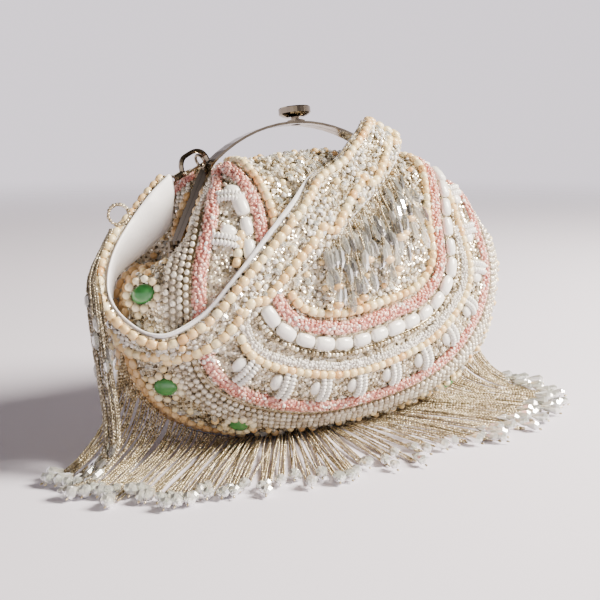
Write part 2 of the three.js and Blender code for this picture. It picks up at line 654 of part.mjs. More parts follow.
// The bundle of strands on the strap's outer side at the left
const TASSEL_ROUTE = [
  [-122.5, -2.5, 123], [-129.5, -4.5, 114], [-138, -9, 101],
  [-142.5, -17, 86], [-143, -19, 67], [-142.5, -19.5, 50],
];
const TASSEL_SECTION = { halfWidth: 4.2, halfDepth: 2.2 };

function tasselGeometry() {
  const section = new THREE.Shape();
  section.absellipse(0, 0, TASSEL_SECTION.halfDepth, TASSEL_SECTION.halfWidth, 0, 2 * Math.PI);
  const extrudePath = new THREE.CatmullRomCurve3(TASSEL_ROUTE.map(vec), false, 'centripetal');
  return new THREE.ExtrudeGeometry(section, {
    steps: 14, extrudePath, curveSegments: 5, bevelEnabled: false,
  });
}

// White oval beads on one thread: each bead's sections along its length, as shares of its size
const OVAL_SECTIONS = [
  { along: -0.5, size: 0.3 },
  { along: -0.36, size: 0.76 },
  { along: -0.12, size: 1 },
  { along: 0.12, size: 1 },
  { along: 0.36, size: 0.76 },
  { along: 0.5, size: 0.3 },
];

function ovalRoutePoint(u, full) {
  const { x, z, halfWidth, drop, riseX, riseZ } = OVAL_ROUTE;
  const mirrored = full && u < 0;
  const turn = mirrored ? -u : u;
  const quarter = Math.PI / 2;
  if (turn <= quarter) {
    return [x + (mirrored ? -1 : 1) * halfWidth * Math.sin(turn), z - drop * Math.cos(turn)];
  }
  const climb = turn - quarter;
  return [x + (mirrored ? -1 : 1) * (halfWidth + riseX * climb), z + riseZ * climb];
}

function ovalRow(side, fromU, toU, full) {
  const place = (u, lift) => {
    const [x, z] = ovalRoutePoint(u, full);
    return onPanel(side, x, z, lift).point;
  };
  const lift = OVAL.height / 2 + GAP + 0.1;
  const samples = Array.from({ length: 81 }, (_, k) => place(mix(fromU, toU, k / 80), lift));
  const line = new THREE.CatmullRomCurve3(samples);
  const count = Math.round(line.getLength() / OVAL.pitch);
  const outline = [];
  for (let k = 0; k < count; k += 1) {
    for (const { along, size } of OVAL_SECTIONS) {
      outline.push({ at: clamp01((k + 0.5 + along * (OVAL.length / OVAL.pitch)) / count), size });
    }
  }
  const sides = 6;
  const rings = outline.map(({ at, size }) => {
    const centre = line.getPointAt(at);
    const up = onPanel(side, centre.x, centre.z, 0).normal;
    const across = line.getTangentAt(at).cross(up).normalize();
    return Array.from({ length: sides }, (_, k) => {
      const turn = ((k + 0.5) / sides) * 2 * Math.PI;
      const [wide, high] = [Math.cos(turn) * size * OVAL.width, Math.sin(turn) * size * OVAL.height];
      return centre.clone().addScaledVector(across, wide / 2).addScaledVector(up, high / 2);
    });
  });
  return closedTube(rings);
}

// A tube through rings of points, closed at both ends by a fan
function closedTube(rings) {
  const sides = rings[0].length;
  const points = rings.flat();
  const triangles = [];
  for (let i = 0; i < rings.length - 1; i += 1) {
    for (let j = 0; j < sides; j += 1) {
      const next = (j + 1) % sides;
      const [a, b] = [i * sides + j, i * sides + next];
      triangles.push(a, b, b + sides, a, b + sides, a + sides);
    }
  }
  const last = (rings.length - 1) * sides;
  for (let j = 1; j < sides - 1; j += 1) {
    triangles.push(0, j + 1, j);
    triangles.push(last, last + j, last + j + 1);
  }
  return facingOut(points, triangles);
}

// A domed oval stone, flat behind
function cabochonGeometry(side, { angleDeg, reach, turnDeg }) {
  const { girdle } = CABOCHON;
  const domeSteps = 3;
  const dome = Array.from({ length: domeSteps }, (_, k) => {
    const a = ((k + 1) / domeSteps) * (Math.PI / 2);
    return [0.5 * Math.cos(a), girdle + (CABOCHON.height - girdle) * Math.sin(a)];
  });
  dome[dome.length - 1][0] = 0;
  const profile = [[0, 0], [0.5, 0], [0.5, girdle], ...dome].map(([r, h]) => new THREE.Vector2(r, h));
  const stone = new THREE.LatheGeometry(profile, 10).rotateX(Math.PI / 2);
  stone.scale(CABOCHON.length, CABOCHON.width, 1).rotateZ(degrees(side * turnDeg));
  const phi = degrees(angleDeg);
  const up = panelNormal(side, reach, phi);
  const along = new THREE.Vector3(1, 0, 0).addScaledVector(up, -up.x);
  if (along.length() < 0.3) along.set(0, 0, 1).addScaledVector(up, -up.z);
  along.normalize();
  const across = up.clone().cross(along);
  const basis = new THREE.Matrix4().makeBasis(along, across, up);
  return stone.applyMatrix4(basis.setPosition(liftedPoint(side, reach, phi, 0)));
}

// The scene graph
const bag = new THREE.Group();
const upright = new THREE.Group();
upright.rotation.x = -LEAN;
upright.position.set(0, -SEAM_FORWARD, -SINK);
bag.add(upright);

function add(group, name, geometry, look) {
  const mesh = new THREE.Mesh(geometry, look);
  mesh.name = name;
  group.add(mesh);
  return mesh;
}

add(bag, 'front_panel', panelGeometry(-1), BEADED_CLOTH);
add(bag, 'back_panel', panelGeometry(1), BEADED_CLOTH);
add(bag, 'fringe_skirt', fringeGeometry(), SEED_STRANDS);

add(upright, 'frame_front', frameFront(), NICKEL);
add(upright, 'frame_back', frameBack(), NICKEL);
add(upright, 'hinge_rivet_left', rivetGeometry(-1), NICKEL);
add(upright, 'hinge_rivet_right', rivetGeometry(1), NICKEL);
add(upright, 'lock_knob', knobGeometry(), NICKEL);

const leftClasp = new THREE.Group();
leftClasp.applyMatrix4(claspMatrix(CLASP_LEFT));
upright.add(leftClasp);
add(leftClasp, 'clasp_left', hookGeometry(), NICKEL);
add(leftClasp, 'clasp_lever_left', gateGeometry(), NICKEL).position.set(GATE.pivotX, 0, GATE.z);

const rightClasp = new THREE.Group();
rightClasp.applyMatrix4(claspMatrix(CLASP_RIGHT));
upright.add(rightClasp);
add(rightClasp, 'clasp_right', hookGeometry(), NICKEL);

add(upright, 'strap_band', strapLayer(GAP / 2, GAP / 2 + STRAP.thickness), BEADED_CLOTH);
add(upright, 'strap_lining', strapLayer(-GAP / 2 - STRAP.thickness, -GAP / 2), SATIN);

const loopGeometry = new THREE.TorusGeometry(BEAD_LOOP.radius, BEAD_LOOP.wire, 6, 18);
const loop = add(upright, 'bead_loop', loopGeometry, SEED_STRANDS);
loop.rotation.set(BEAD_LOOP.tip, BEAD_LOOP.turn, 0);
loop.position.set(...BEAD_LOOP.at);

add(upright, 'strap_tassel_left', tasselGeometry(), SEED_STRANDS);
add(upright, 'strap_fringe_front', frontStrandsGeometry(), SEED_STRANDS);
add(upright, 'oval_row_front', ovalRow(-1, -0.86, 2.2, false), WHITE_GLASS);
add(upright, 'oval_row_back', ovalRow(1, -2.2, 2.2, true), WHITE_GLASS);

STONES.forEach((stone, k) => {
  add(upright, `cabochon_front_${k + 1}`, cabochonGeometry(-1, stone), GREEN_STONE);
  add(upright, `cabochon_back_${k + 1}`, cabochonGeometry(1, stone), GREEN_STONE);
});

export default bag;
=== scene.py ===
"""The looks of a beaded batua bag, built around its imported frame.

Lengths in the tables are millimetres in the bag's upright frame: the seam lies in the plane y = 0, the
front faces -Y and +Z is up. Finished meshes are leaned back onto the floor and stored in metres.
"""

from __future__ import annotations

import json
import logging
import math
from dataclasses import dataclass, field
from enum import Enum
from typing import Any, Iterable, Sequence

import bmesh
import bpy
import numpy as np
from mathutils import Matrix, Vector
from mathutils.kdtree import KDTree

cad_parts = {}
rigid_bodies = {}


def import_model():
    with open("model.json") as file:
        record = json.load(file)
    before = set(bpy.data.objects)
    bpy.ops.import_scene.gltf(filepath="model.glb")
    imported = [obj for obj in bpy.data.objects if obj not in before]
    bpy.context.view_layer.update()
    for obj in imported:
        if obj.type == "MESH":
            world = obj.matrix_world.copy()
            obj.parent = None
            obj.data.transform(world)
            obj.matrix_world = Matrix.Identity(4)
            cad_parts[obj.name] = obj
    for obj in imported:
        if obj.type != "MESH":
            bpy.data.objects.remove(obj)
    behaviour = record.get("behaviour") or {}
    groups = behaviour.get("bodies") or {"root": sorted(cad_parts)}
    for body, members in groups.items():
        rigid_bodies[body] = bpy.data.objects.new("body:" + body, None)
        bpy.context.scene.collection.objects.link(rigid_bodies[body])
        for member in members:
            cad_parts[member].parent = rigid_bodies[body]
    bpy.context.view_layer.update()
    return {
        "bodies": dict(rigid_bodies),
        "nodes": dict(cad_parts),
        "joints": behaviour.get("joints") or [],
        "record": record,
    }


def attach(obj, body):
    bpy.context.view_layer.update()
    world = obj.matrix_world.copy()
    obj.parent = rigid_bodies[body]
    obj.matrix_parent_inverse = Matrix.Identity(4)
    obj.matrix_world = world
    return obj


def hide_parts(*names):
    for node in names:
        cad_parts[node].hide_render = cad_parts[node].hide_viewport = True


LOG = logging.getLogger("batua")
MM = 0.001
BODY = "bag"
# The share of a bead's height at which its middle stands over the cloth
SEAT = 0.42
# The share of a bead's width that its middle keeps off the floor
OFF_FLOOR = 0.6
# A direction that no strand runs along
ASIDE = (0.13, 0.2, 0.97)

Array = np.ndarray
Pair = tuple[float, float]
Triple = tuple[float, float, float]
Colour = tuple[float, float, float]
Faces = list[list[int]]
Piece = bpy.types.Object
Material = bpy.types.Material


# Small maths


def smoothstep(value: Array) -> Array:
    """A soft step from 0 at 0 to 1 at 1."""
    t = np.clip(value, 0, 1)
    return t * t * (3 - 2 * t)


def paired(first: Array, second: Array) -> list[Array]:
    """Two flat arrays of the same length."""
    return [np.ravel(v) for v in np.broadcast_arrays(np.asarray(first, float), np.asarray(second, float))]


def unit(vectors: Array) -> Array:
    """The same directions with length 1."""
    return vectors / np.maximum(np.linalg.norm(vectors, axis=-1, keepdims=True), 1e-12)


def thread_line(points: Array, places: Array) -> Array:
    """Follows a smooth line through points.

    Args:
        points: the points that the line goes through, one row each.
        places: where on the line, from 0 at the first point to 1 at the last.

    Returns:
        One row for each place.
    """
    knots = np.asarray(points, float)
    ends = (2 * knots[:1] - knots[1:2], 2 * knots[-1:] - knots[-2:-1])
    padded = np.vstack([ends[0], knots, ends[1]])
    spans = len(knots) - 1
    at = np.clip(np.asarray(places, float), 0, 1) * spans
    k = np.minimum(at.astype(int), spans - 1)
    t = (at - k)[:, None]
    p0, p1, p2, p3 = (padded[k + n] for n in range(4))
    d0, d1, d2 = (
        np.sqrt(np.maximum(np.linalg.norm(b - a, axis=1), 1e-9))[:, None]
        for a, b in ((p0, p1), (p1, p2), (p2, p3))
    )
    m1 = d1 * ((p1 - p0) / d0 - (p2 - p0) / (d0 + d1) + (p2 - p1) / d1)
    m2 = d1 * ((p2 - p1) / d1 - (p3 - p1) / (d1 + d2) + (p3 - p2) / d2)
    curve = (2 * p1 - 2 * p2 + m1 + m2) * t**3
    return p1 + m1 * t + (3 * p2 - 3 * p1 - 2 * m1 - m2) * t**2 + curve


def lengths_along(points: Array) -> Array:
    """The distance of each point from the first one, along the line."""
    steps = np.linalg.norm(np.diff(points, axis=0), axis=1)
    return np.concatenate([[0], np.cumsum(steps)])


def along_line(at: Array | float, along: Array, values: Array) -> Array:
    """The values at distances along a line, where along holds the distance of each row of values."""
    return np.stack([np.interp(at, along, values[:, k]) for k in range(3)], -1)


def spaced(length: float, pitch: float) -> Array:
    """Distances about a pitch apart, spread evenly over a length."""
    count = max(2, int(length / pitch))
    return (np.arange(count) + 0.5) * length / count


def strung(points: Array, normals: Array, at: Array) -> tuple[Array, Array, Array]:
    """Finds the places of beads on a thread.

    Args:
        points: the thread's points.
        normals: the outward direction at each point.
        at: the beads' distances along the thread.

    Returns:
        The places, their outward directions and their directions along the thread.
    """
    along = lengths_along(points)
    places = along_line(at, along, points)
    ups = unit(along_line(at, along, normals))
    return places, ups, unit(np.gradient(places, axis=0))


def radial(phi: Array) -> Array:
    """Directions in the seam's plane at angles from the x axis."""
    return np.stack([np.cos(phi), 0 * phi, np.sin(phi)], -1)


def round_angles(count: int) -> Array:
    """Angles spread evenly round a circle."""
    return 2 * math.pi * np.arange(count) / count


def round_tangents(ring: Array) -> Array:
    """The directions along a closed ring of points."""
    return unit(np.roll(ring, -1, axis=0) - np.roll(ring, 1, axis=0))


def ring_faces(first: int, rings: int, sides: int) -> Faces:
    """Joins rings of points by faces with four corners.

    Args:
        first: the number of the first point.
        rings: how many rings there are.
        sides: how many points a ring has.

    Returns:
        The faces, as point numbers.
    """
    faces = []
    for start in range(first, first + (rings - 1) * sides, sides):
        for j in range(sides):
            a, b = start + j, start + (j + 1) % sides
            faces.append([a, b, b + sides, a + sides])
    return faces


def closed_rings(first: int, rings: int, sides: int) -> Faces:
    """Joins rings of points by faces and closes both ends; it takes what ring_faces takes."""
    last = first + (rings - 1) * sides
    start_cap = [first + j for j in reversed(range(sides))]
    return [*ring_faces(first, rings, sides), start_cap, [last + j for j in range(sides)]]


def point_tree(points: Array) -> KDTree:
    """A search tree over points."""
    tree = KDTree(len(points))
    for k, p in enumerate(points):
        tree.insert(p, k)
    tree.balance()
    return tree


def inside_outline(points: Array, outline: Array) -> Array:
    """Tests which flat points lie inside a closed outline.

    Args:
        points: flat points, one row each.
        outline: the outline's corners in order.

    Returns:
        True for each point inside.
    """
    inside = np.zeros(len(points), bool)
    for a, b in zip(outline, np.roll(outline, -1, axis=0)):
        crosses = (a[1] > points[:, 1]) != (b[1] > points[:, 1])
        rise = b[1] - a[1] if abs(b[1] - a[1]) > 1e-9 else 1e-9
        reach = a[0] + (points[:, 1] - a[1]) * (b[0] - a[0]) / rise
        inside ^= crosses & (points[:, 0] < reach)
    return inside


# Stance and form


@dataclass(frozen=True)
class Stance:
    """How the upright bag leans back on the floor."""

    lean_deg: float = 10
    sink: float = 6
    forward: float = 17

    def turn(self, directions: Array) -> Array:
        """Turns directions from the upright frame to the floor's."""
        c, s = math.cos(math.radians(self.lean_deg)), math.sin(math.radians(self.lean_deg))
        x, y, z = np.moveaxis(np.asarray(directions, float), -1, 0)
        return np.stack([x, c * y + s * z, c * z - s * y], -1)

    def lean(self, points: Array) -> Array:
        """Moves points from the upright frame to the floor's, in millimetres."""
        return self.turn(points) - np.array([0, self.forward, self.sink])


STANCE = Stance()
GAP = 0.3


@dataclass(frozen=True)
class Pleat:
    """One fold gathered under the mouth."""

    angle_deg: float
    width_deg: float
    depth: float


@dataclass(frozen=True)
class Pouch:
    """The pouch's form: each half is a belly whose rim is the seam below the hinges and the mouth above."""

    half_width: float = 121
    belly_z: float = 70
    drop: float = 66
    shoulder: float = 58
    bulge: float = 57
    top_z: float = 160
    roundness: float = 2.4
    shoulder_roundness: float = 2.6
    puff: float = 30
    puff_peak: float = 0.08
    puff_spread: float = 0.36
    puff_shape: float = 3.4
    hinge: Pair = (89, 107)
    bend: Pair = (62, 153)
    behind_frame: float = 2.7
    mouth_inset: float = 1.5
    notch_depth: float = 12
    notch_angle: float = 0.1
    notch_sharpness: float = 14
    mouth_blend: float = 0.16
    belly_blend: float = 0.75
    mouth_lead: float = 0.06
    pleat_from: float = 0.48
    pleat_run: float = 0.35
    pleats: tuple[Pleat, ...] = (Pleat(121, 4, 0.2), Pleat(95, 3.5, 0.24), Pleat(70, 5, 0.16))

    @property
    def hinge_angle(self) -> float:
        """The direction of a hinge from the belly's middle."""
        return math.atan2(self.hinge[1] - self.belly_z, self.hinge[0])

    @property
    def bend_angle(self) -> float:
        """The direction of the frame's bend from the belly's middle."""
        return math.atan2(self.bend[1] - self.belly_z, self.bend[0])

    def rings(self, count: int) -> Array:
        """The reach of rings from the belly's middle to the rim, closer together near the rim."""
        turn = np.linspace(0, math.pi / 2, count + 1)
        return np.clip(np.sin(turn) ** (2 / self.roundness), 0, 1)

    def seam_radius(self, angle: Array) -> Array:
        """The seam's distance from the belly's middle, seen from the front."""
        low = angle < 0
        height = np.where(low, self.drop, self.shoulder)
        power = np.where(low, self.roundness, self.shoulder_roundness)
        across = (np.abs(np.cos(angle)) / self.half_width) ** power
        return (across + (np.abs(np.sin(angle)) / height) ** power) ** (-1 / power)

    def mouth_radius(self, angle: Array) -> Array:
        """The mouth's distance from the belly's middle, seen from the front."""
        leg = angle < self.bend_angle
        start_x = np.where(leg, self.hinge[0], self.bend[0])
        start_z = np.where(leg, self.hinge[1], self.bend[1]) - self.belly_z
        run_x = np.where(leg, self.bend[0], 0) - start_x
        run_z = np.where(leg, self.bend[1], self.top_z) - self.belly_z - start_z
        crossing = np.cos(angle) * run_z - np.sin(angle) * run_x
        crossing = np.where(np.abs(crossing) < 1e-6, 1e-6, crossing)
        return (start_x * run_z - start_z * run_x) / crossing - self.mouth_inset

    def pleat_depth(self, phi: Array) -> Array:
        """How far the pleats draw the cloth in at a direction."""
        angle = np.degrees(phi) % 360
        folds = (p.depth * np.exp(-(((angle - p.angle_deg) / p.width_deg) ** 2)) for p in self.pleats)
        return sum(folds, np.zeros_like(angle))

    def point(self, side: int, reach: Array, phi: Array, pleats: float = 1.0) -> Array:
        """Finds points of the cloth.

        Args:
            side: -1 for the front half and 1 for the back half.
            reach: from 0 at the belly's middle to 1 at the rim.
            phi: the direction from the belly's middle.
            pleats: 1 on the cloth and 0 on the smooth form under it.

        Returns:
            The points in the upright frame.
        """
        reach, phi = np.broadcast_arrays(np.asarray(reach, float), np.asarray(phi, float))
        folded = np.arctan2(np.sin(phi), np.abs(np.cos(phi)))
        blend = self.belly_blend + (self.mouth_blend - self.belly_blend) * reach**6
        mouth_start = self.hinge_angle - self.mouth_lead
        above = smoothstep((folded - mouth_start) / blend + 0.5)
        mouth = np.where(above > 0, self.mouth_radius(folded), 0)
        at_hinge = np.exp(-(((folded - self.hinge_angle) / self.notch_angle) ** 2))
        notch = self.notch_depth * at_hinge * reach**self.notch_sharpness
        rim = self.seam_radius(folded) * (1 - above) + mouth * above - notch
        climb = (folded - self.hinge_angle) / (math.pi / 2 - self.hinge_angle)
        puff = self.puff * np.exp(-(((climb - self.puff_peak) / self.puff_spread) ** 2))
        radius = rim * reach + puff * self.puff_shape * reach**3 * (1 - reach**3)
        rim_y = GAP / 2 + above * self.behind_frame
        crown = np.maximum(0, 1 - reach**self.roundness) ** (1 / self.roundness)
        gathered = smoothstep((reach - self.pleat_from) / self.pleat_run)
        pleat = 1 - pleats * self.pleat_depth(phi) * gathered
        y = rim_y + (self.bulge - rim_y) * crown * pleat
        return np.stack([radius * np.cos(phi), side * y, self.belly_z + radius * np.sin(phi)], -1)

    def normal(self, side: int, reach: Array, phi: Array, pleats: float = 1.0) -> Array:
        """The outward directions of the cloth; it takes what point takes."""
        step = 0.004
        r = np.clip(reach, 0.02, 1 - 2 * step)
        along_r = self.point(side, r + step, phi, pleats) - self.point(side, r - step, phi, pleats)
        along_a = self.point(side, r, phi + step, pleats) - self.point(side, r, phi - step, pleats)
        return -side * unit(np.cross(along_r, along_a))

    def over(self, side: int, x: Array, z: Array, lift: Array) -> tuple[Array, Array]:
        """Finds the places that lie over x and z on the smooth form.

        Args:
            side: -1 for the front half and 1 for the back half.
            x: places across the bag.
            z: places up the bag.
            lift: how far to stand off the form.

        Returns:
            The lifted points and the outward directions.
        """
        x, z = np.asarray(x, float), np.asarray(z, float)
        phi = np.arctan2(z - self.belly_z, x)
        target = np.hypot(x, z - self.belly_z)
        near, far = np.full(x.shape, 0.001), np.full(x.shape, 0.9)
        for _ in range(30):
            middle = (near + far) / 2
            p = self.point(side, middle, phi, 0)
            short = np.hypot(p[..., 0], p[..., 2] - self.belly_z) < target
            near = np.where(short, middle, near)
            far = np.where(short, far, middle)
        normals = self.normal(side, near, phi, 0)
        return self.point(side, near, phi, 0) + normals * np.asarray(lift)[..., None], normals


POUCH = Pouch()


@dataclass
class FlatMap:
    """A half of the pouch laid flat: distances from the belly's middle are kept along each direction."""

    rings: int = 160
    spoke_deg: float = 1.5
    furthest: float = 0.998
    reach: Array = field(init=False)
    arcs: Array = field(init=False)

    def __post_init__(self) -> None:
        """Measures the cloth along every direction."""
        self.reach = POUCH.rings(self.rings)
        phi = np.radians(np.arange(0, 360 + self.spoke_deg, self.spoke_deg))
        grid = POUCH.point(-1, self.reach[None, :], phi[:, None], 0)
        steps = np.linalg.norm(np.diff(grid, axis=1), axis=2)
        self.arcs = np.concatenate([np.zeros((len(phi), 1)), np.cumsum(steps, axis=1)], axis=1)

    def arc_column(self, phi: float) -> Array:
        """The distances of the rings from the belly's middle in one direction."""
        at = (phi % (2 * math.pi)) / math.radians(self.spoke_deg)
        k = min(int(at), len(self.arcs) - 2)
        return self.arcs[k] * (1 - (at - k)) + self.arcs[k + 1] * (at - k)

    def locate(self, flat: Array) -> tuple[Array, Array]:
        """Finds the reach and the direction of flat points."""
        phi = np.arctan2(flat[:, 1], flat[:, 0])
        distance = np.hypot(flat[:, 0], flat[:, 1])
        reach = [np.interp(d, self.arc_column(p), self.reach) for d, p in zip(distance, phi)]
        return np.minimum(np.array(reach), self.furthest), phi


# Finishes


class NodeKit:
    """A node tree under construction."""

    def __init__(self, tree: bpy.types.NodeTree) -> None:
        """Starts on a tree."""
        self.tree = tree

    def join(self, socket: Any, value: Any) -> None:
        """Feeds an input from another node's output, or gives it a value."""
        if isinstance(value, bpy.types.NodeSocket):
            self.tree.links.new(value, socket)
        else:
            socket.default_value = (*value, 1) if socket.type == "RGBA" else value

    def feed(self, node: Any, values: dict[str, Any]) -> None:
        """Joins a node's inputs by their names, with _ for a space."""
        for key, value in values.items():
            title = key.replace("_", " ")
            self.join(next(s for s in node.inputs if s.enabled and s.name == title), value)

    def add(self, kind: str, settings: dict[str, Any] | None = None, **values: Any) -> Any:
        """Adds a node.

        Args:
            kind: the node's type.
            settings: the node's own choices.
            values: input names, with _ for a space, and a socket or a value for each.

        Returns:
            The node.
        """
        node = self.tree.nodes.new(kind)
        for key, choice in (settings or {}).items():
            setattr(node, key, choice)
        self.feed(node, values)
        return node

    def maths(self, operation: str, first: Any, second: Any) -> Any:
        """The result of one step of arithmetic."""
        node = self.add("ShaderNodeMath", {"operation": operation})
        for socket, value in zip(node.inputs, (first, second)):
            self.join(socket, value)
        return node.outputs[0]

    def scale(self, vector: Any, factor: Any) -> Any:
        """A vector or a colour times a number."""
        node = self.add("ShaderNodeVectorMath", {"operation": "SCALE"}, Vector=vector, Scale=factor)
        return node.outputs["Vector"]

    def blend(self, amount: Any, first: Any, second: Any) -> Any:
        """Two colours mixed by an amount."""
        node = self.add("ShaderNodeMix", {"data_type": "RGBA"}, Factor=amount, A=first, B=second)
        return next(s for s in node.outputs if s.enabled)

    def soft_step(self, value: Any, low: float, high: float) -> Any:
        """A soft step from 0 at the low value to 1 at the high one."""
        choice = {"interpolation_type": "SMOOTHSTEP"}
        node = self.add("ShaderNodeMapRange", choice, Value=value, From_Min=low, From_Max=high)
        return node.outputs["Result"]


class Paint(NodeKit):
    """A material under construction, whose textures stay fixed to the piece."""

    def __init__(self, name: str) -> None:
        """Starts a material."""
        self.material = bpy.data.materials.new(name)
        self.material.use_nodes = True
        super().__init__(self.material.node_tree)
        self.shader = self.tree.nodes["Principled BSDF"]
        self.where = self.add("ShaderNodeTexCoord").outputs["Object"]

    def texture(self, kind: str, **values: float) -> Any:
        """The outputs of a texture."""
        return self.add(f"ShaderNodeTex{kind}", Vector=self.where, **values).outputs

    def between(self, share: Any, low: float, high: float) -> Any:
        """A number from low to high, by a share from 0 to 1."""
        return self.add("ShaderNodeMapRange", Value=share, To_Min=low, To_Max=high).outputs["Result"]

    def bump(self, height: Any, strength: float, depth: float, sunk: bool = False, **over: Any) -> Any:
        """Makes a relief in the shading.

        Args:
            height: the relief's height, from 0 to 1.
            strength: how much of it shows.
            depth: its depth in metres.
            sunk: whether high values lie deep.
            over: Normal, where it lies over another relief.

        Returns:
            The shading directions.
        """
        values = {"Height": height, "Strength": strength, "Distance": depth, **over}
        return self.add("ShaderNodeBump", {"invert": sunk}, **values).outputs["Normal"]

    def finish(self, **values: Any) -> Material:
        """Joins the shader's inputs and gives the material."""
        self.feed(self.shader, values)
        return self.material


@dataclass(frozen=True)
class Finish:
    """A bead finish: its tones by a bead's tint from 0 to 1, and how it shines."""

    name: str
    tones: tuple[tuple[float, Colour], ...]
    roughness: float
    metallic: float = 0
    coat: float = 0
    transmission: float = 0
    grain: float = 0.12
    stepped: bool = False

    def make(self) -> Material:
        """Builds the material."""
        paint = Paint(self.name)
        tint = paint.add("ShaderNodeAttribute", {"attribute_name": "tint"})
        ramp = paint.add("ShaderNodeValToRGB", Fac=tint.outputs["Fac"])
        ramp.color_ramp.interpolation = "CONSTANT" if self.stepped else "LINEAR"
        stops = ramp.color_ramp.elements
        while len(stops) < len(self.tones):
            stops.new(0.5)
        for stop, (place, colour) in zip(stops, self.tones):
            stop.position = place
            stop.color = (*colour, 1)
        grain = paint.texture("Noise", Scale=1100, Detail=3)["Fac"]
        shade = paint.between(grain, 1 - self.grain, 1 + self.grain)
        return paint.finish(
            Base_Color=paint.scale(ramp.outputs["Color"], shade),
            Normal=paint.bump(grain, 0.12, 0.0002),
            Roughness=self.roughness,
            Metallic=self.metallic,
            Coat_Weight=self.coat,
            Coat_Roughness=0.08,
            Transmission_Weight=self.transmission,
        )


CREAM = Finish(
    "cream_glass",
    (
        (0.0, (0.7, 0.39, 0.15)),
        (0.12, (0.82, 0.55, 0.25)),
        (0.5, (0.87, 0.64, 0.31)),
        (0.8, (0.91, 0.75, 0.42)),
        (1.0, (0.92, 0.81, 0.52)),
    ),
    0.28,
    coat=0.35,
)
AMBER = Finish("amber_glass", ((0.0, (0.64, 0.39, 0.16)), (1.0, (0.87, 0.63, 0.34))), 0.28, coat=0.4)
IVORY = Finish("ivory_glass", ((0.0, (0.84, 0.67, 0.38)), (1.0, (0.96, 0.88, 0.65))), 0.26, coat=0.4)
WHITE = Finish(
    "white_glass", ((0.0, (0.82, 0.8, 0.75)), (1.0, (0.93, 0.91, 0.87))), 0.24, coat=0.4, grain=0.05
)
LILAC = Finish(
    "lilac_white_seeds",
    ((0.0, (0.55, 0.5, 0.43)), (0.4, (0.79, 0.745, 0.67)), (1.0, (0.96, 0.93, 0.865))),
    0.22,
    coat=0.5,
)
SILVER = Finish(
    "silver_lined_seeds",
    (
        (0.0, (0.1, 0.075, 0.04)),
        (0.11, (0.27, 0.21, 0.12)),
        (0.35, (0.54, 0.45, 0.3)),
        (0.58, (0.82, 0.73, 0.54)),
        (0.78, (1.0, 0.95, 0.82)),
    ),
    0.16,
    metallic=0.45,
    coat=0.6,
    stepped=True,
)
CHAMPAGNE = Finish(
    "champagne_strands",
    (
        (0.0, (0.29, 0.23, 0.135)),
        (0.24, (0.46, 0.375, 0.235)),
        (0.6, (0.61, 0.515, 0.345)),
        (0.9, (0.93, 0.85, 0.66)),
    ),
    0.2,
    metallic=0.6,
    coat=0.5,
    stepped=True,
)
# A darker copy of the champagne strands: painted shade for the tassel, which hangs on the bag's shaded side
SHADED_CHAMPAGNE = Finish(
    "smoky_strands",
    (
        (0.0, (0.19, 0.155, 0.1)),
        (0.24, (0.33, 0.275, 0.185)),
        (0.6, (0.47, 0.405, 0.29)),
        (0.9, (0.84, 0.77, 0.61)),
    ),
    0.2,
    metallic=0.6,
    coat=0.5,
    stepped=True,
)
PEARL = Finish(
    "grey_pearls",
    ((0.0, (0.42, 0.35, 0.26)), (0.4, (0.66, 0.59, 0.47)), (1.0, (0.9, 0.85, 0.74))),
    0.16,
    metallic=0.25,
    coat=0.8,
)
CRYSTAL = Finish(
    "clear_crystal",
    ((0.0, (0.74, 0.77, 0.72)), (0.5, (0.9, 0.92, 0.87)), (1.0, (1.0, 1.0, 0.96))),
    0.03,
    transmission=0.72,
    grain=0.02,
)
# The strap strands' grey-clear crystals, kept darker than the clear crystal so that their dark tones paint
# shade and dark reflections
SHADED_CRYSTAL = Finish(
    "grey_crystal",
    ((0.0, (0.26, 0.25, 0.23)), (0.3, (0.5, 0.5, 0.46)), (0.7, (0.8, 0.8, 0.75)), (0.94, (1.0, 1.0, 1.0))),
    0.04,
    transmission=0.68,
    grain=0.02,
    stepped=True,
)
PINK = Finish(
    "pink_seeds",
    (
        (0.0, (0.56, 0.2, 0.15)),
        (0.1, (0.74, 0.34, 0.27)),
        (0.4, (0.83, 0.44, 0.35)),
        (0.75, (0.89, 0.57, 0.47)),
        (0.91, (0.97, 0.91, 0.86)),
    ),
    0.18,
    coat=0.7,
    stepped=True,
)
STONE = Finish("green_cats_eye", ((0.0, (0.035, 0.2, 0.045)), (1.0, (0.07, 0.3, 0.075))), 0.16, coat=0.6)


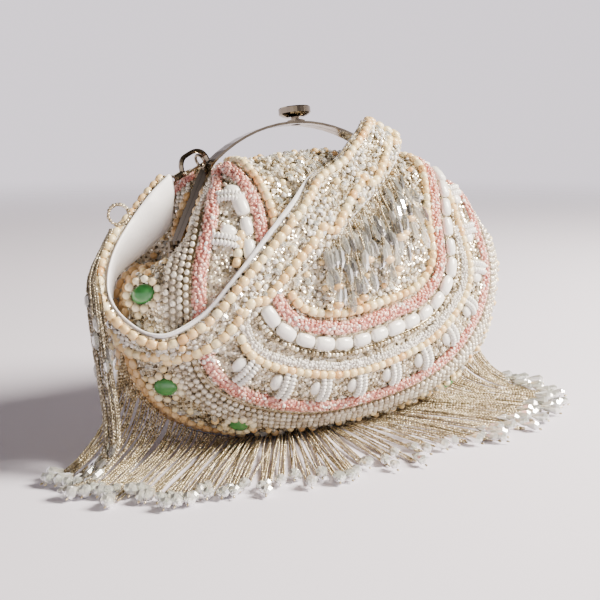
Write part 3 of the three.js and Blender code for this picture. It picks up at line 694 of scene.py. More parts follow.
@dataclass(frozen=True)
class TubeFinish:
    """A sheer tube filled with beads: its tones, its shares of white dots (white beads, and on the pink
    tube painted glints of small crystals) and of dark dots (painted dark reflections), and its gaps
    darkened as painted shade.
    """

    name: str
    # The colour in the gaps between the beads: painted shade
    deep: Colour
    tone: Colour
    pale: Colour
    white_and_glint_share: float
    dark_reflection_share: float
    bead: float
    # The white dots are white beads, and on the pink tube they paint the glints of small crystals; the dark
    # dots paint their dark reflections
    white: Colour = (0.98, 0.96, 0.93)
    dark: Colour = (0.1, 0.05, 0.04)
    # How far a white dot or a dark dot, a painted dark reflection, reaches in its cell, where the gaps
    # start and how dark their painted shade is
    white_and_glint_reach: float = 0.42
    dark_reflection_reach: float = 0.3
    gap_from: float = 0.5
    gap_shade: float = 0.4

    def make(self) -> Material:
        """Builds the material."""
        paint = Paint(self.name)
        cells = paint.texture("Voronoi", Scale=1 / (self.bead * MM))
        noise = paint.texture("Noise", Scale=220)["Fac"]
        pick = paint.add("ShaderNodeSeparateColor", Color=cells["Color"]).outputs
        away = cells["Distance"]
        # White and dark dots in chosen cells: painted glints and dark reflections on the pink tube, white
        # beads on the lilac one
        white_and_glint_cell = paint.maths("GREATER_THAN", pick["Red"], 1 - self.white_and_glint_share)
        dark_reflection_cell = paint.maths("LESS_THAN", pick["Red"], self.dark_reflection_share)
        white_and_glint_dot = paint.maths("MULTIPLY", white_and_glint_cell, paint.maths("LESS_THAN", away, self.white_and_glint_reach))
        dark_reflection_dot = paint.maths("MULTIPLY", dark_reflection_cell, paint.maths("LESS_THAN", away, self.dark_reflection_reach))
        mottle = paint.maths("MULTIPLY", paint.maths("ADD", noise, pick["Green"]), 0.5)
        # The gaps between the painted beads are darkened towards the deep colour: painted shade
        gaps = paint.maths("MULTIPLY", paint.maths("GREATER_THAN", away, self.gap_from), self.gap_shade)
        ground = paint.blend(gaps, paint.blend(mottle, self.tone, self.pale), self.deep)
        return paint.finish(
            Base_Color=paint.blend(dark_reflection_dot, paint.blend(white_and_glint_dot, ground, self.white), self.dark),
            Normal=paint.bump(away, 0.9, 0.0011, sunk=True),
            Roughness=0.24,
            Coat_Weight=0.6,
        )


PINK_TUBE = TubeFinish(
    "pink_tube",
    # The deep colour is painted shade in the gaps; the white dots paint small crystals' glints and the dark
    # dots their dark reflections
    deep=(0.34, 0.08, 0.06),
    tone=(0.56, 0.16, 0.14),
    pale=(0.84, 0.4, 0.34),
    white_and_glint_share=0.2,
    dark_reflection_share=0.08,
    bead=2.1,
)
LILAC_TUBE = TubeFinish(
    "lilac_tube",
    # The deep colour is painted shade in the gaps; the white dots are white beads
    deep=(0.4, 0.35, 0.31),
    tone=(0.57, 0.53, 0.49),
    pale=(0.86, 0.83, 0.8),
    white_and_glint_share=0.32,
    dark_reflection_share=0.0,
    bead=1.7,
)


class ClothFinish:
    """The cloth, metal and floor materials."""

    @staticmethod
    def silk(name: str, light: Colour, dark: Colour, roughness: float, sheen: float) -> Material:
        """Builds woven cloth.

        Args:
            name: the material's name.
            light: colour of its light patches, which lie on the folds' crests.
            dark: colour of its dark patches, which lie in the folds' hollows as painted shade.
            roughness: how dull it is.
            sheen: how much its nap glows at the edges.

        Returns:
            The material.
        """
        paint = Paint(name)
        weave = paint.texture("Voronoi", Scale=1400)["Distance"]
        soft = paint.texture("Noise", Scale=60, Detail=4)["Fac"]
        return paint.finish(
            # The same noise makes the folds, so besides a patchy tone the dark colour falls in their
            # hollows: painted shade
            Base_Color=paint.blend(soft, dark, light),
            Normal=paint.bump(weave, 0.25, 0.0003, Normal=paint.bump(soft, 0.35, 0.004)),
            Roughness=roughness,
            Sheen_Weight=sheen,
            Sheen_Roughness=0.4,
        )

    @staticmethod
    def nickel() -> Material:
        """Builds polished nickel with fine wear."""
        paint = Paint("polished_nickel")
        wear = paint.texture("Noise", Scale=180, Detail=6)["Fac"]
        dull = paint.between(wear, 0.05, 0.17)
        return paint.finish(Base_Color=(0.28, 0.235, 0.175), Metallic=1, Roughness=dull)

    @staticmethod
    def floor(clear_from: float, clear_to: float) -> Material:
        """Builds a pale floor that fades out far from the bag.

        Args:
            clear_from: distance in metres where it starts to fade.
            clear_to: distance in metres where it has gone.

        Returns:
            The material.
        """
        paint = Paint("pale_floor")
        distance = paint.add("ShaderNodeVectorMath", {"operation": "LENGTH"}, Vector=paint.where)
        fade = paint.soft_step(distance.outputs["Value"], clear_from, clear_to)
        clear = paint.add("ShaderNodeBsdfTransparent")
        blend = paint.add("ShaderNodeMixShader", Fac=fade)
        paint.join(blend.inputs[1], paint.shader.outputs["BSDF"])
        paint.join(blend.inputs[2], clear.outputs["BSDF"])
        paint.join(paint.tree.nodes["Material Output"].inputs["Surface"], blend.outputs["Shader"])
        return paint.finish(Base_Color=(0.765, 0.735, 0.86), Roughness=0.75)


# Bead shapes and the trees that set them


class BeadShape(Enum):
    """The bead shapes: sides, whether smooth, and the outline along the thread as (place, radius)."""

    GRAIN = (4, False, ((-0.45, 0.3), (0.0, 0.52), (0.45, 0.3)))
    LINK = (4, True, ((-0.5, 0.36), (0.0, 0.5), (0.5, 0.36)))
    SEED = (6, True, ((-0.42, 0.3), (0.0, 0.5), (0.42, 0.3)))
    ROUND = (8, True, ((-0.47, 0.17), (-0.32, 0.38), (0.0, 0.5), (0.32, 0.38), (0.47, 0.17)))
    DRUM = (8, True, ((-0.5, 0.24), (-0.39, 0.41), (0.0, 0.5), (0.39, 0.41), (0.5, 0.24)))
    OVAL = (
        12,
        True,
        ((-0.5, 0.16), (-0.47, 0.33), (-0.38, 0.45), (0.0, 0.5), (0.38, 0.45), (0.47, 0.33), (0.5, 0.16)),
    )
    RICE = (6, False, ((-0.5, 0.12), (-0.24, 0.46), (0.24, 0.46), (0.5, 0.12)))
    DROP = (8, False, ((-0.5, 0.08), (-0.08, 0.36), (0.22, 0.5), (0.42, 0.3), (0.5, 0.06)))


def turned(sides: int, outline: Sequence[Pair]) -> tuple[list[Triple], Faces]:
    """Turns an outline round the x axis.

    Args:
        sides: faces round it.
        outline: places along x and their radii.

    Returns:
        The points and the faces of a closed shape.
    """
    angles = [2 * math.pi * (k + 0.5) / sides for k in range(sides)]
    points = [
        (place, radius * math.cos(angle), radius * math.sin(angle))
        for place, radius in outline
        for angle in angles
    ]
    faces = [[a, d, c, b] for a, b, c, d in ring_faces(0, len(outline), sides)]
    last = (len(outline) - 1) * sides
    return points, [*faces, list(range(sides)), [last + k for k in reversed(range(sides))]]


def placed(name: str, data: Any) -> Piece:
    """A new object in the scene."""
    made = bpy.data.objects.new(name, data)
    bpy.context.scene.collection.objects.link(made)
    return made


def discard(item: Piece) -> None:
    """Removes an object with its mesh."""
    mesh = item.data
    bpy.data.objects.remove(item)
    bpy.data.meshes.remove(mesh)


def mesh_object(name: str, points: Iterable[Any], faces: Iterable[Any], smooth: bool = True) -> Piece:
    """Makes an object from points and faces and links it to the scene.

    Args:
        name: the object's name.
        points: the points, in metres.
        faces: the faces, as point numbers.
        smooth: whether faces shade smoothly.

    Returns:
        The object.
    """
    mesh = bpy.data.meshes.new(name)
    mesh.from_pydata([tuple(p) for p in points], [], [tuple(f) for f in faces])
    mesh.polygons.foreach_set("use_smooth", [smooth] * len(mesh.polygons))
    mesh.update()
    return placed(name, mesh)


class BeadTree(NodeKit):
    """A Geometry Nodes tree that sets beads."""

    def __init__(self, name: str, inputs: dict[str, str]) -> None:
        """Starts a tree.

        Args:
            name: the tree's name.
            inputs: input names and their kinds of socket, after the geometry.
        """
        super().__init__(bpy.data.node_groups.new(name, "GeometryNodeTree"))
        self.tree.is_modifier = True
        face = self.tree.interface
        face.new_socket("Geometry", in_out="OUTPUT", socket_type="NodeSocketGeometry")
        for title, kind in {"Geometry": "Geometry", **inputs}.items():
            face.new_socket(title, in_out="INPUT", socket_type=f"NodeSocket{kind}")
        self.inputs = self.tree.nodes.new("NodeGroupInput").outputs
        self.output = self.tree.nodes.new("NodeGroupOutput").inputs[0]

    def attribute(self, name: str) -> Any:
        """The values of a named vector attribute."""
        node = self.add("GeometryNodeInputNamedAttribute", {"data_type": "FLOAT_VECTOR"}, Name=name)
        return node.outputs["Attribute"]

    def random(self, low: Any, high: Any, seed: Any) -> Any:
        """A random number for each bead."""
        node = self.add("FunctionNodeRandomValue", {"data_type": "FLOAT"}, Min=low, Max=high, Seed=seed)
        return next(s for s in node.outputs if s.enabled)

    def spun(self, rotation: Any, axis: Triple) -> Any:
        """Adds a random turn to the beads' rotations.

        Args:
            rotation: the rotations.
            axis: the bead's own axis that it turns round.

        Returns:
            The new rotations.
        """
        twist = self.inputs["Twist"]
        angle = self.random(self.maths("MULTIPLY", twist, -1.0), twist, self.inputs["Seed"])
        spin = self.add("FunctionNodeAxisAngleToRotation", Axis=axis, Angle=angle)
        both = self.add(
            "FunctionNodeRotateRotation",
            {"rotation_space": "LOCAL"},
            Rotation=rotation,
            Rotate_By=spin.outputs["Rotation"],
        )
        return both.outputs["Rotation"]

    def set_beads(self, points: Any, rotation: Any, size: Any) -> None:
        """Ends the tree: a bead on each point, with its own tint, made into a plain mesh.

        Args:
            points: the points.
            rotation: the beads' rotations.
            size: the beads' lengths, widths and heights.
        """
        seed, jitter = self.inputs["Seed"], self.inputs["Jitter"]
        low, high = self.maths("SUBTRACT", 1.0, jitter), self.maths("ADD", 1.0, jitter)
        bead = self.add("GeometryNodeObjectInfo", Object=self.inputs["Bead"])
        beads = self.add(
            "GeometryNodeInstanceOnPoints",
            Points=points,
            Instance=bead.outputs["Geometry"],
            Rotation=rotation,
            Scale=self.scale(size, self.random(low, high, seed)),
        )
        tinted = self.add(
            "GeometryNodeStoreNamedAttribute",
            {"data_type": "FLOAT", "domain": "INSTANCE"},
            Geometry=beads.outputs["Instances"],
            Name="tint",
            Value=self.random(0.0, 1.0, self.maths("ADD", seed, 7.0)),
        )
        real = self.add("GeometryNodeRealizeInstances", Geometry=tinted.outputs["Geometry"])
        painted = self.add(
            "GeometryNodeSetMaterial", Geometry=real.outputs["Geometry"], Material=self.inputs["Finish"]
        )
        self.join(self.output, painted.outputs["Geometry"])

    def identifiers(self) -> dict[str, str]:
        """The identifier of each input by its name."""
        sockets = self.tree.interface.items_tree
        return {socket.name: socket.identifier for socket in sockets if socket.in_out == "INPUT"}


@dataclass(frozen=True)
class Bead:
    """A kind of bead: its shape and finish, and its length, width and height."""

    shape: BeadShape
    finish: Finish
    size: Triple
    jitter: float = 0.08
    twist: float = 0.0


@dataclass
class Setting:
    """Places for beads: points, outward directions, thread directions and sizes, in millimetres."""

    parts: list[tuple[Array, ...]] = field(default_factory=list)

    def add(
        self, points: Array, ups: Array, alongs: Array, size: Triple, keep: Array | slice = slice(None)
    ) -> None:
        """Adds places on the floor's frame.

        Args:
            points: the beads' middles.
            ups: their outward directions.
            alongs: their directions along the thread.
            size: a bead's length, width and height.
            keep: which of the places are added.
        """
        points = points[keep]
        if len(points):
            sizes = np.tile(np.array(size, float), (len(points), 1))
            self.parts.append((points, ups[keep], alongs[keep], sizes))

    def joined(self) -> list[Array]:
        """All points, outward directions, thread directions and sizes."""
        return [np.vstack(part) for part in zip(*self.parts)]


@dataclass(frozen=True)
class Filling:
    """Beads scattered over cloth: the least distance between them, and how far they stand off it.

    On a panel they lie inside one row and outside another, with a margin to the rows and stones.
    """

    title: str
    bead: Bead
    spacing: float
    lift: float
    inside: float | None = None
    outside: float | None = None
    margin: float | None = None


class Workshop:
    """Makes the bead pieces with two Geometry Nodes trees, and keeps the materials."""

    def __init__(self) -> None:
        """Builds the bead shapes and the trees."""
        self.materials: dict[str, Material] = {}
        self.shapes: dict[BeadShape, Piece] = {}
        for shape in BeadShape:
            sides, smooth, outline = shape.value
            self.shapes[shape] = mesh_object(f"shape_{shape.name.lower()}", *turned(sides, outline), smooth)
        self.extra: list[Piece] = []
        shared = {"Bead": "Object", "Finish": "Material", "Seed": "Int"}
        shared |= {"Jitter": "Float", "Twist": "Float"}
        spread = {"Spacing": "Float", "Size": "Vector", "Lift": "Float"}
        self.setting = BeadTree("bead_setting", shared)
        self.scattering = BeadTree("bead_scatter", {**shared, **spread})
        self._wire_setting()
        self._wire_scattering()

    def _wire_setting(self) -> None:
        """A bead on each point of a mesh, turned to its thread and to the cloth."""
        tree = self.setting
        axes = tree.add(
            "FunctionNodeAxesToRotation",
            {"primary_axis": "Z", "secondary_axis": "X"},
            Primary_Axis=tree.attribute("up"),
            Secondary_Axis=tree.attribute("along"),
        )
        rotation = tree.spun(axes.outputs["Rotation"], (1.0, 0.0, 0.0))
        tree.set_beads(tree.inputs["Geometry"], rotation, tree.attribute("size"))

    def _wire_scattering(self) -> None:
        """Beads spread over a patch of cloth, no nearer each other than their spacing."""
        tree = self.scattering
        crowd = tree.maths("POWER", tree.inputs["Spacing"], -2.0)
        spread = tree.add(
            "GeometryNodeDistributePointsOnFaces",
            {"distribute_method": "POISSON"},
            Mesh=tree.inputs["Geometry"],
            Distance_Min=tree.inputs["Spacing"],
            Density_Max=tree.maths("MULTIPLY", crowd, 3.0),
            Seed=tree.inputs["Seed"],
        )
        offset = tree.scale(spread.outputs["Normal"], tree.inputs["Lift"])
        lifted = tree.add("GeometryNodeSetPosition", Geometry=spread.outputs["Points"], Offset=offset)
        rotation = tree.spun(spread.outputs["Rotation"], (0.0, 0.0, 1.0))
        tree.set_beads(lifted.outputs["Geometry"], rotation, tree.inputs["Size"])

    def material(self, finish: Finish | TubeFinish) -> Material:
        """The material of a finish, built once."""
        if finish.name not in self.materials:
            self.materials[finish.name] = finish.make()
        return self.materials[finish.name]

    def _grow(self, name: str, base: Piece, tree: BeadTree, values: dict[str, Any]) -> Piece:
        """Runs a tree on a base object and keeps the result as a plain mesh.

        Args:
            name: the new piece's name.
            base: the object that carries the points or the patch; it is removed.
            tree: the tree to run.
            values: the tree's inputs by name.

        Returns:
            The piece.
        """
        grower = base.modifiers.new("beads", "NODES")
        grower.node_group = tree.tree
        names = tree.identifiers()
        for title, value in values.items():
            grower[names[title]] = value
        graph = bpy.context.evaluated_depsgraph_get()
        graph.update()
        mesh = bpy.data.meshes.new_from_object(base.evaluated_get(graph), depsgraph=graph)
        mesh.name = name
        discard(base)
        return placed(name, mesh)

    def _common(self, bead: Bead, seed: int, shape: Piece | None = None) -> dict[str, Any]:
        """The inputs that both trees share."""
        return {
            "Bead": shape or self.shapes[bead.shape],
            "Jitter": bead.jitter,
            "Twist": bead.twist,
            "Seed": seed,
            "Finish": self.material(bead.finish),
        }

    def string(
        self,
        name: str,
        setting: Setting,
        bead: Bead,
        seed: int,
        slot: str,
        *nodes: str,
        shape: Piece | None = None,
    ) -> None:
        """Makes one piece with a bead on every place of a setting.

        Args:
            name: the piece's name.
            setting: where the beads go.
            bead: the kind of bead.
            seed: the seed of its random numbers.
            slot: the record's material slot; it is not used.
            nodes: the nodes that it replaces.
            shape: a shape to use in place of the bead's own.
        """
        points, ups, alongs, sizes = setting.joined()
        base = mesh_object(name + "_places", points * MM, [])
        for title, values in (("up", ups), ("along", alongs), ("size", sizes * MM)):
            layer = base.data.attributes.new(title, "FLOAT_VECTOR", "POINT")
            layer.data.foreach_set("vector", values.astype(np.float32).ravel())
        finished(self._grow(name, base, self.setting, self._common(bead, seed, shape)), slot, *nodes)

    def scatter(self, name: str, patch: Piece, fill: Filling, seed: int) -> None:
        """Makes one piece with beads spread over a patch.

        Args:
            name: the piece's name.
            patch: the patch of cloth; it is removed.
            fill: the bead, and how it is spread.
            seed: the seed of its random numbers.
        """
        values = self._common(fill.bead, seed)
        values["Spacing"] = fill.spacing * MM
        values["Size"] = tuple(v * MM for v in fill.bead.size)
        values["Lift"] = fill.lift * MM
        finished(self._grow(name, patch, self.scattering, values), "beaded_cloth")

    def put_away(self) -> None:
        """Removes the shapes that the trees copied."""
        for shape in (*self.shapes.values(), *self.extra):
            discard(shape)


def finished(piece: Piece, slot: str, *nodes: str) -> None:
    """Rides a piece on the bag's body, hides the nodes that it replaces and logs its faces."""
    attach(piece, BODY)
    if nodes:
        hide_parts(*nodes)
    LOG.info("%s: %d faces", piece.name, len(piece.data.polygons))


# The strap


@dataclass(frozen=True)
class StrapRow:
    """One cross line of the strap: its upper and lower edge."""

    upper: Triple
    lower: Triple


@dataclass
class Strap:
    """The padded shoulder strap, from the left clasp round the bag's left end and over its front."""

    left: tuple[StrapRow, ...] = (
        StrapRow((-86, -1, 149.5), (-83, 4, 138.5)),
        StrapRow((-97.5, -2, 140.5), (-87, 2.5, 124)),
        StrapRow((-110, -3, 128.5), (-101, 3.5, 112)),
        StrapRow((-124, -7.5, 114), (-119.5, 6.5, 98.5)),
        StrapRow((-132.5, -12.5, 100.5), (-124, 6, 86.5)),
        StrapRow((-136, -19.5, 88), (-126, 0, 77)),
        StrapRow((-132.5, -27.5, 77), (-126, -9.5, 66)),
        StrapRow((-126, -36, 69.5), (-121.5, -20, 59)),
        StrapRow((-118.5, -41.5, 67.5), (-114.5, -30, 56.5)),
    )
    # Laid on the front: across, up, and how far off the smooth form
    laid: tuple[StrapRow, ...] = (
        StrapRow((-99, 75.5, 6.5), (-92, 60.5, 4)),
        StrapRow((-83, 90, 5.5), (-72, 76.5, 4)),
        StrapRow((-64, 107, 5), (-49, 91, 4)),
        StrapRow((-43, 125, 5), (-26, 106, 4)),
        StrapRow((-25, 138, 5), (-7, 119, 4)),
    )
    right: tuple[StrapRow, ...] = (
        StrapRow((-9, -45, 149), (10, -51, 130.5)),
        StrapRow((5, -41, 159), (27, -46, 142.5)),
        StrapRow((18.5, -34.5, 168), (43, -37, 154)),
        StrapRow((25.5, -27, 171), (51, -28.5, 159.5)),
        StrapRow((31.5, -19.5, 169), (57, -21, 159.5)),
        StrapRow((35, -14.5, 165), (58, -17, 158.5)),
    )
    thickness: float = 2.0
    guides: list[Array] = field(init=False)

    def __post_init__(self) -> None:
        """Gathers the three guide lines: both edges and the middle."""
        lines: list[list[Array]] = [[], [], []]
        for rows in (self.left, self.laid, self.right):
            for row in rows:
                upper, lower = np.array(row.upper, float), np.array(row.lower, float)
                for line, place in zip(lines, (upper, (upper + lower) / 2, lower)):
                    line.append(POUCH.over(-1, *place)[0] if rows is self.laid else place)
        self.guides = [np.array(line) for line in lines]

    def point(self, s: Array, t: Array) -> Array:
        """Points of its middle surface: s along it and t from the upper to the lower edge."""
        s, t = paired(s, t)
        upper, middle, lower = (thread_line(guide, s) for guide in self.guides)
        bow = (middle - (upper + lower) / 2) * (4 * t * (1 - t))[:, None]
        return upper + (lower - upper) * t[:, None] + bow

    def normal(self, s: Array, t: Array) -> Array:
        """Its outward directions."""
        step = 0.002
        s = np.clip(np.ravel(s), 0.004, 0.996)
        t = np.ravel(t)
        along = self.point(s + step, t) - self.point(s - step, t)
        across = self.point(s, t + step) - self.point(s, t - step)
        return -unit(np.cross(along, across))

    def at(self, s: Array, t: Array, height: Array | float) -> tuple[Array, Array]:
        """Finds places over its middle surface.

        Args:
            s: places along it, from 0 to 1.
            t: places across it, from 0 at the upper edge to 1 at the lower one.
            height: how far over the middle surface.

        Returns:
            The points and their outward directions, on the floor's frame.
        """
        s, t = paired(s, t)
        normals = self.normal(s, t)
        lifted = self.point(s, t) + normals * np.broadcast_to(height, s.shape)[:, None]
        return STANCE.lean(lifted), STANCE.turn(normals)

    def shell(self, name: str, section: Any, steps: int) -> Piece:
        """Makes a closed strip from a cross-section.

        Args:
            name: the piece's name.
            section: gives the section's points in order round it, as t and height, at each place s.
            steps: divisions along the strap.

        Returns:
            The piece.
        """
        rows = []
        for s in np.linspace(0, 1, steps + 1):
            across, height = section(s)
            wave = 1 + 0.06 * math.sin(43 * s) + 0.05 * math.sin(97 * s + 1)
            points, _ = self.at(np.full(len(across), s), across, height * wave)
            rows.append(points * MM)
        return mesh_object(name, np.vstack(rows), closed_rings(0, steps + 1, len(rows[0])))

    def cover_tree(self) -> KDTree:
        """Points of the strap on the floor's frame, for finding what it hides."""
        s, t = np.meshgrid(np.linspace(0.4, 0.86, 120), np.linspace(0.08, 0.92, 9), indexing="ij")
        return point_tree(self.at(s, t, -self.thickness)[0])


STRAP = Strap()


def recalculated(piece: Piece) -> Piece:
    """Turns a closed mesh's faces outwards."""
    solid = bmesh.new()
    solid.from_mesh(piece.data)
    if solid.calc_volume(signed=True) < 0:
        piece.data.flip_normals()
    solid.free()
    return piece


@dataclass(frozen=True)
class Band:
    """One row of beads on a panel: its place between the guides, its bead, spacing and extra lift."""

    share: float
    bead: Bead
    pitch: float
    raised: float = 0.0


@dataclass(frozen=True)
class TubePlan:
    """Soft tubes of one finish: each one's row, half width and height, and the beads sewn on them."""

    title: str
    finish: Finish | TubeFinish
    rows: tuple[Triple, ...]
    bead: Bead | None = None
    spacing: float = 0.0


class PanelBeads:
    """The kinds of bead on the pouch."""

    cream = Bead(BeadShape.DRUM, CREAM, (4.7, 4.8, 4.5), 0.07)
    small_cream = Bead(BeadShape.ROUND, CREAM, (3.8, 3.8, 3.6), 0.12)
    petal = Bead(BeadShape.ROUND, IVORY, (3.9, 4.1, 3.5), 0.1)
    amber = Bead(BeadShape.ROUND, AMBER, (5.4, 4.2, 4.0), 0.1)
    line = Bead(BeadShape.GRAIN, SILVER, (1.6, 1.6, 1.5), 0.15, 1.0)
    seed = Bead(BeadShape.GRAIN, SILVER, (1.75, 1.75, 1.7), 0.22, 3.1)
    chain = Bead(BeadShape.ROUND, PEARL, (2.8, 2.8, 2.6), 0.06)
    cup = Bead(BeadShape.SEED, SILVER, (2.3, 2.8, 2.4), 0.06)
    pearl = Bead(BeadShape.ROUND, PEARL, (3.3, 3.3, 3.1), 0.1)
    oval = Bead(BeadShape.OVAL, WHITE, (10.8, 7.4, 5.0), 0.13)
    pink = Bead(BeadShape.LINK, PINK, (1.95, 2.0, 1.8), 0.18, 3.1)
    lilac = Bead(BeadShape.LINK, LILAC, (1.6, 1.7, 1.5), 0.18, 3.1)
    white = Bead(BeadShape.SEED, LILAC, (2.7, 2.7, 2.4), 0.25, 3.1)
    glint = Bead(BeadShape.RICE, CRYSTAL, (4.2, 2.8, 2.6), 0.25, 3.1)


@dataclass
class Panel:
    """One half of the pouch: its cloth and the beadwork on it."""

    name: str
    side: int
    shop: Workshop
    flat: FlatMap
    hidden_by: KDTree | None = None
    seed: int = 1
    # Three guide rows on the flat map, from the left end of the mouth round the belly to the right end
    inner: tuple[Pair, ...] = (
        (-68, 104), (-61, 78), (-57, 58), (-57, 26), (-50, 5), (-28, -1.5),
        (2, 1.5), (29, 8), (43, 21), (46, 46), (63, 94),
    )
    outer: tuple[Pair, ...] = (
        (-77, 98), (-83.5, 69), (-90, 50), (-101, 20), (-95, -25), (-42, -50),
        (10, -49.5), (58, -33), (91, 0), (90, 38), (83, 80),
    )
    seam: tuple[Pair, ...] = (
        (-93, 92), (-122, 70), (-142, 44), (-151, 10), (-128, -55), (-55, -95),
        (8, -100), (95, -78), (150, -15), (148, 34), (106, 88),
    )
    mouth_top: Pair = (0, 119)
    spread: float = 48.5
    seam_margin: float = 3
    bundle_at: Pair = (-39, -39.5)
    bundle_pitch: float = 23.5
    bundle_row: float = 0.78
    bundle_lift: float = 1.6
    bundle_floor: float = 7.0
    bundle_radius: float = 4.5
    cloth_spokes: int = 144
    cloth_rings: int = 28
    cloth_wall: float = 1.2
    tube_sides: int = 8
    tube_samples: int = 340
    tube_seat: float = 0.35
    shortest_tube: int = 4
    # How far beads, tubes and bundles keep from the strap's inner face
    strap_clearance: float = 4.6
    tube_clearance: float = 3.2
    bundle_clearance: float = 7.5
    # The flat map's extent across and up, and the size of a patch's cells
    flat_box: tuple[Pair, ...] = ((-156, 156), (-104, 130))
    cell: float = 1.6
    taken: list[tuple[Array, float]] = field(default_factory=list)

    def row(self, share: float, samples: int = 260) -> tuple[Array, Array]:
        """A row on the flat map, at its full distance from the nearest guide.

        Args:
            share: 0 at the inner guide, 1 at the outer one and 2 at the seam.
            samples: how many points it has.

        Returns:
            The flat points, and 1 where the guides leave room for the row and 0 elsewhere.
        """
        places = np.linspace(0, 1, samples)
        guides = [thread_line(np.array(g, float), places) for g in (self.inner, self.outer, self.seam)]
        near = min(max(round(share), 0), 2)
        far = near + 1 if share < 0 or share >= near else near - 1
        start, towards = guides[near], guides[far]
        gap = np.linalg.norm(towards - start, axis=1)
        distance = abs(share - near) * self.spread * (-1 if share < 0 else 1)
        room = gap / 2 if share <= 1 else gap - self.seam_margin
        flat = start + (towards - start) * (distance / np.maximum(gap, 1))[:, None]
        return flat, (distance <= room + 0.2).astype(float)

    def outline(self, share: float) -> Array:
        """A row closed over the mouth."""
        return np.vstack([self.row(share)[0], [self.mouth_top]])

    def on_cloth(self, flat: Array, lift: float) -> tuple[Array, Array]:
        """Flat points lifted off the cloth, and their outward directions, on the floor's frame."""
        reach, phi = self.flat.locate(flat)
        normals = POUCH.normal(self.side, reach, phi)
        points = POUCH.point(self.side, reach, phi) + normals * lift
        return STANCE.lean(points), STANCE.turn(normals)

    def shown(self, points: Array, clearance: float, lowest: float) -> Array:
        """Tests which points stand clear of the strap and of the floor.

        Args:
            points: points on the floor's frame.
            clearance: the least distance from the strap's inner face.
            lowest: the least height over the floor.

        Returns:
            True for each point that shows.
        """
        keep = points[:, 2] > lowest
        if self.hidden_by is not None:
            near = [self.hidden_by.find(p)[2] for p in points]
            keep &= np.array(near) > clearance
        return keep

    def thread(self, setting: Setting, band: Band) -> None:
        """Adds a row's beads to a setting, where the row has room and shows."""
        bead = band.bead
        flat, room = self.row(band.share)
        points, normals = self.on_cloth(flat, bead.size[2] * SEAT + band.raised)
        along = lengths_along(points)
        at = spaced(along[-1], band.pitch)
        places, ups, tangents = strung(points, normals, at)
        keep = self.shown(places, self.strap_clearance, bead.size[1] * OFF_FLOOR)
        keep &= np.interp(at, along, room) > 0.5
        setting.add(places, ups, tangents, bead.size, keep)
        self.taken.append((places[keep], bead.size[1] / 2))

    def free(self, points: Array, margin: float) -> Array:
        """Which points no row or stone has taken."""
        tree = point_tree(np.vstack([p for p, _ in self.taken]))
        radii = np.concatenate([np.full(len(p), r) for p, r in self.taken])
        near = [[d < radii[k] + margin for _, k, d in tree.find_n(p, 6)] for p in points]
        return ~np.array([any(n) for n in near])

    def cloth(self) -> Piece:
        """Makes the cloth with its thickness."""
        reach = POUCH.rings(self.cloth_rings)[1:]
        phi = np.linspace(0, 2 * math.pi, self.cloth_spokes, endpoint=False)
        outer = POUCH.point(self.side, reach[:, None], phi[None, :])
        normals = POUCH.normal(self.side, reach[:, None], np.broadcast_to(phi[None, :], outer.shape[:2]))
        normals[-1] = radial(phi)
        inner = outer - normals * self.cloth_wall
        inner[..., 1] = self.side * np.maximum(self.side * inner[..., 1], GAP / 2)
        middle = POUCH.point(self.side, np.zeros(1), np.zeros(1))
        under = middle - np.array([[0, self.side * self.cloth_wall, 0]])
        layers = []
        for grid, pole, lowest in ((outer, middle, 0.0), (inner, under, self.cloth_wall)):
            points = STANCE.lean(np.vstack([grid.reshape(-1, 3), pole]))
            points[:, 2] = np.maximum(points[:, 2], lowest)
            layers.append(points)
        size, spokes, rings = len(layers[0]), self.cloth_spokes, self.cloth_rings
        faces: Faces = []
        for layer, flip in ((0, False), (size, True)):
            made = [[layer + size - 1, layer + j, layer + (j + 1) % spokes] for j in range(spokes)]
            made += [[a, d, c, b] for a, b, c, d in ring_faces(layer, rings, spokes)]
            faces.extend(f[::-1] if flip else f for f in made)
        edge = (rings - 1) * spokes
        for j in range(edge, edge + spokes):
            n = edge + (j + 1 - edge) % spokes
            faces.append([j, size + j, size + n, n])
        return recalculated(mesh_object(f"{self.name}_cloth", np.vstack(layers) * MM, faces))

    def patch(self, fill: Filling) -> Piece:
        """Makes a patch of the cloth for scattering beads on.

        Args:
            fill: the beads, and where they lie.

        Returns:
            The patch.
        """
        spans = [np.arange(low, high, self.cell) for low, high in self.flat_box]
        corners = np.stack(np.meshgrid(*spans, indexing="ij"), -1)
        centres = (corners[:-1, :-1] + corners[1:, 1:]).reshape(-1, 2) / 2
        turns = np.arctan2(centres[:, 1], centres[:, 0])
        table = np.linspace(-math.pi, math.pi, 241)
        rims = np.interp(turns, table, [self.flat.arc_column(p)[-1] for p in table])
        keep = np.hypot(centres[:, 0], centres[:, 1]) < rims - 1.5
        if fill.inside is not None:
            keep &= inside_outline(centres, self.outline(fill.inside))
        if fill.outside is not None:
            keep &= ~inside_outline(centres, self.outline(fill.outside))
        ids = np.flatnonzero(keep)
        points, _ = self.on_cloth(centres[ids], 0.8)
        clear = self.shown(points, self.strap_clearance, 0.9 * fill.bead.size[0])
        ids, points = ids[clear], points[clear]
        if fill.margin is not None:
            ids = ids[self.free(points, fill.margin)]
        width = corners.shape[1]
        first = ids // (width - 1) * width + ids % (width - 1)
        quads = np.stack([first, first + width, first + width + 1, first + 1], -1)
        used, quads = np.unique(quads, return_inverse=True)
        points, _ = self.on_cloth(corners.reshape(-1, 2)[used], 0.0)
        quads = quads.reshape(-1, 4)
        if self.side > 0:
            quads = quads[:, ::-1]
        return mesh_object(f"{self.name}_patch", points * MM, quads.tolist())

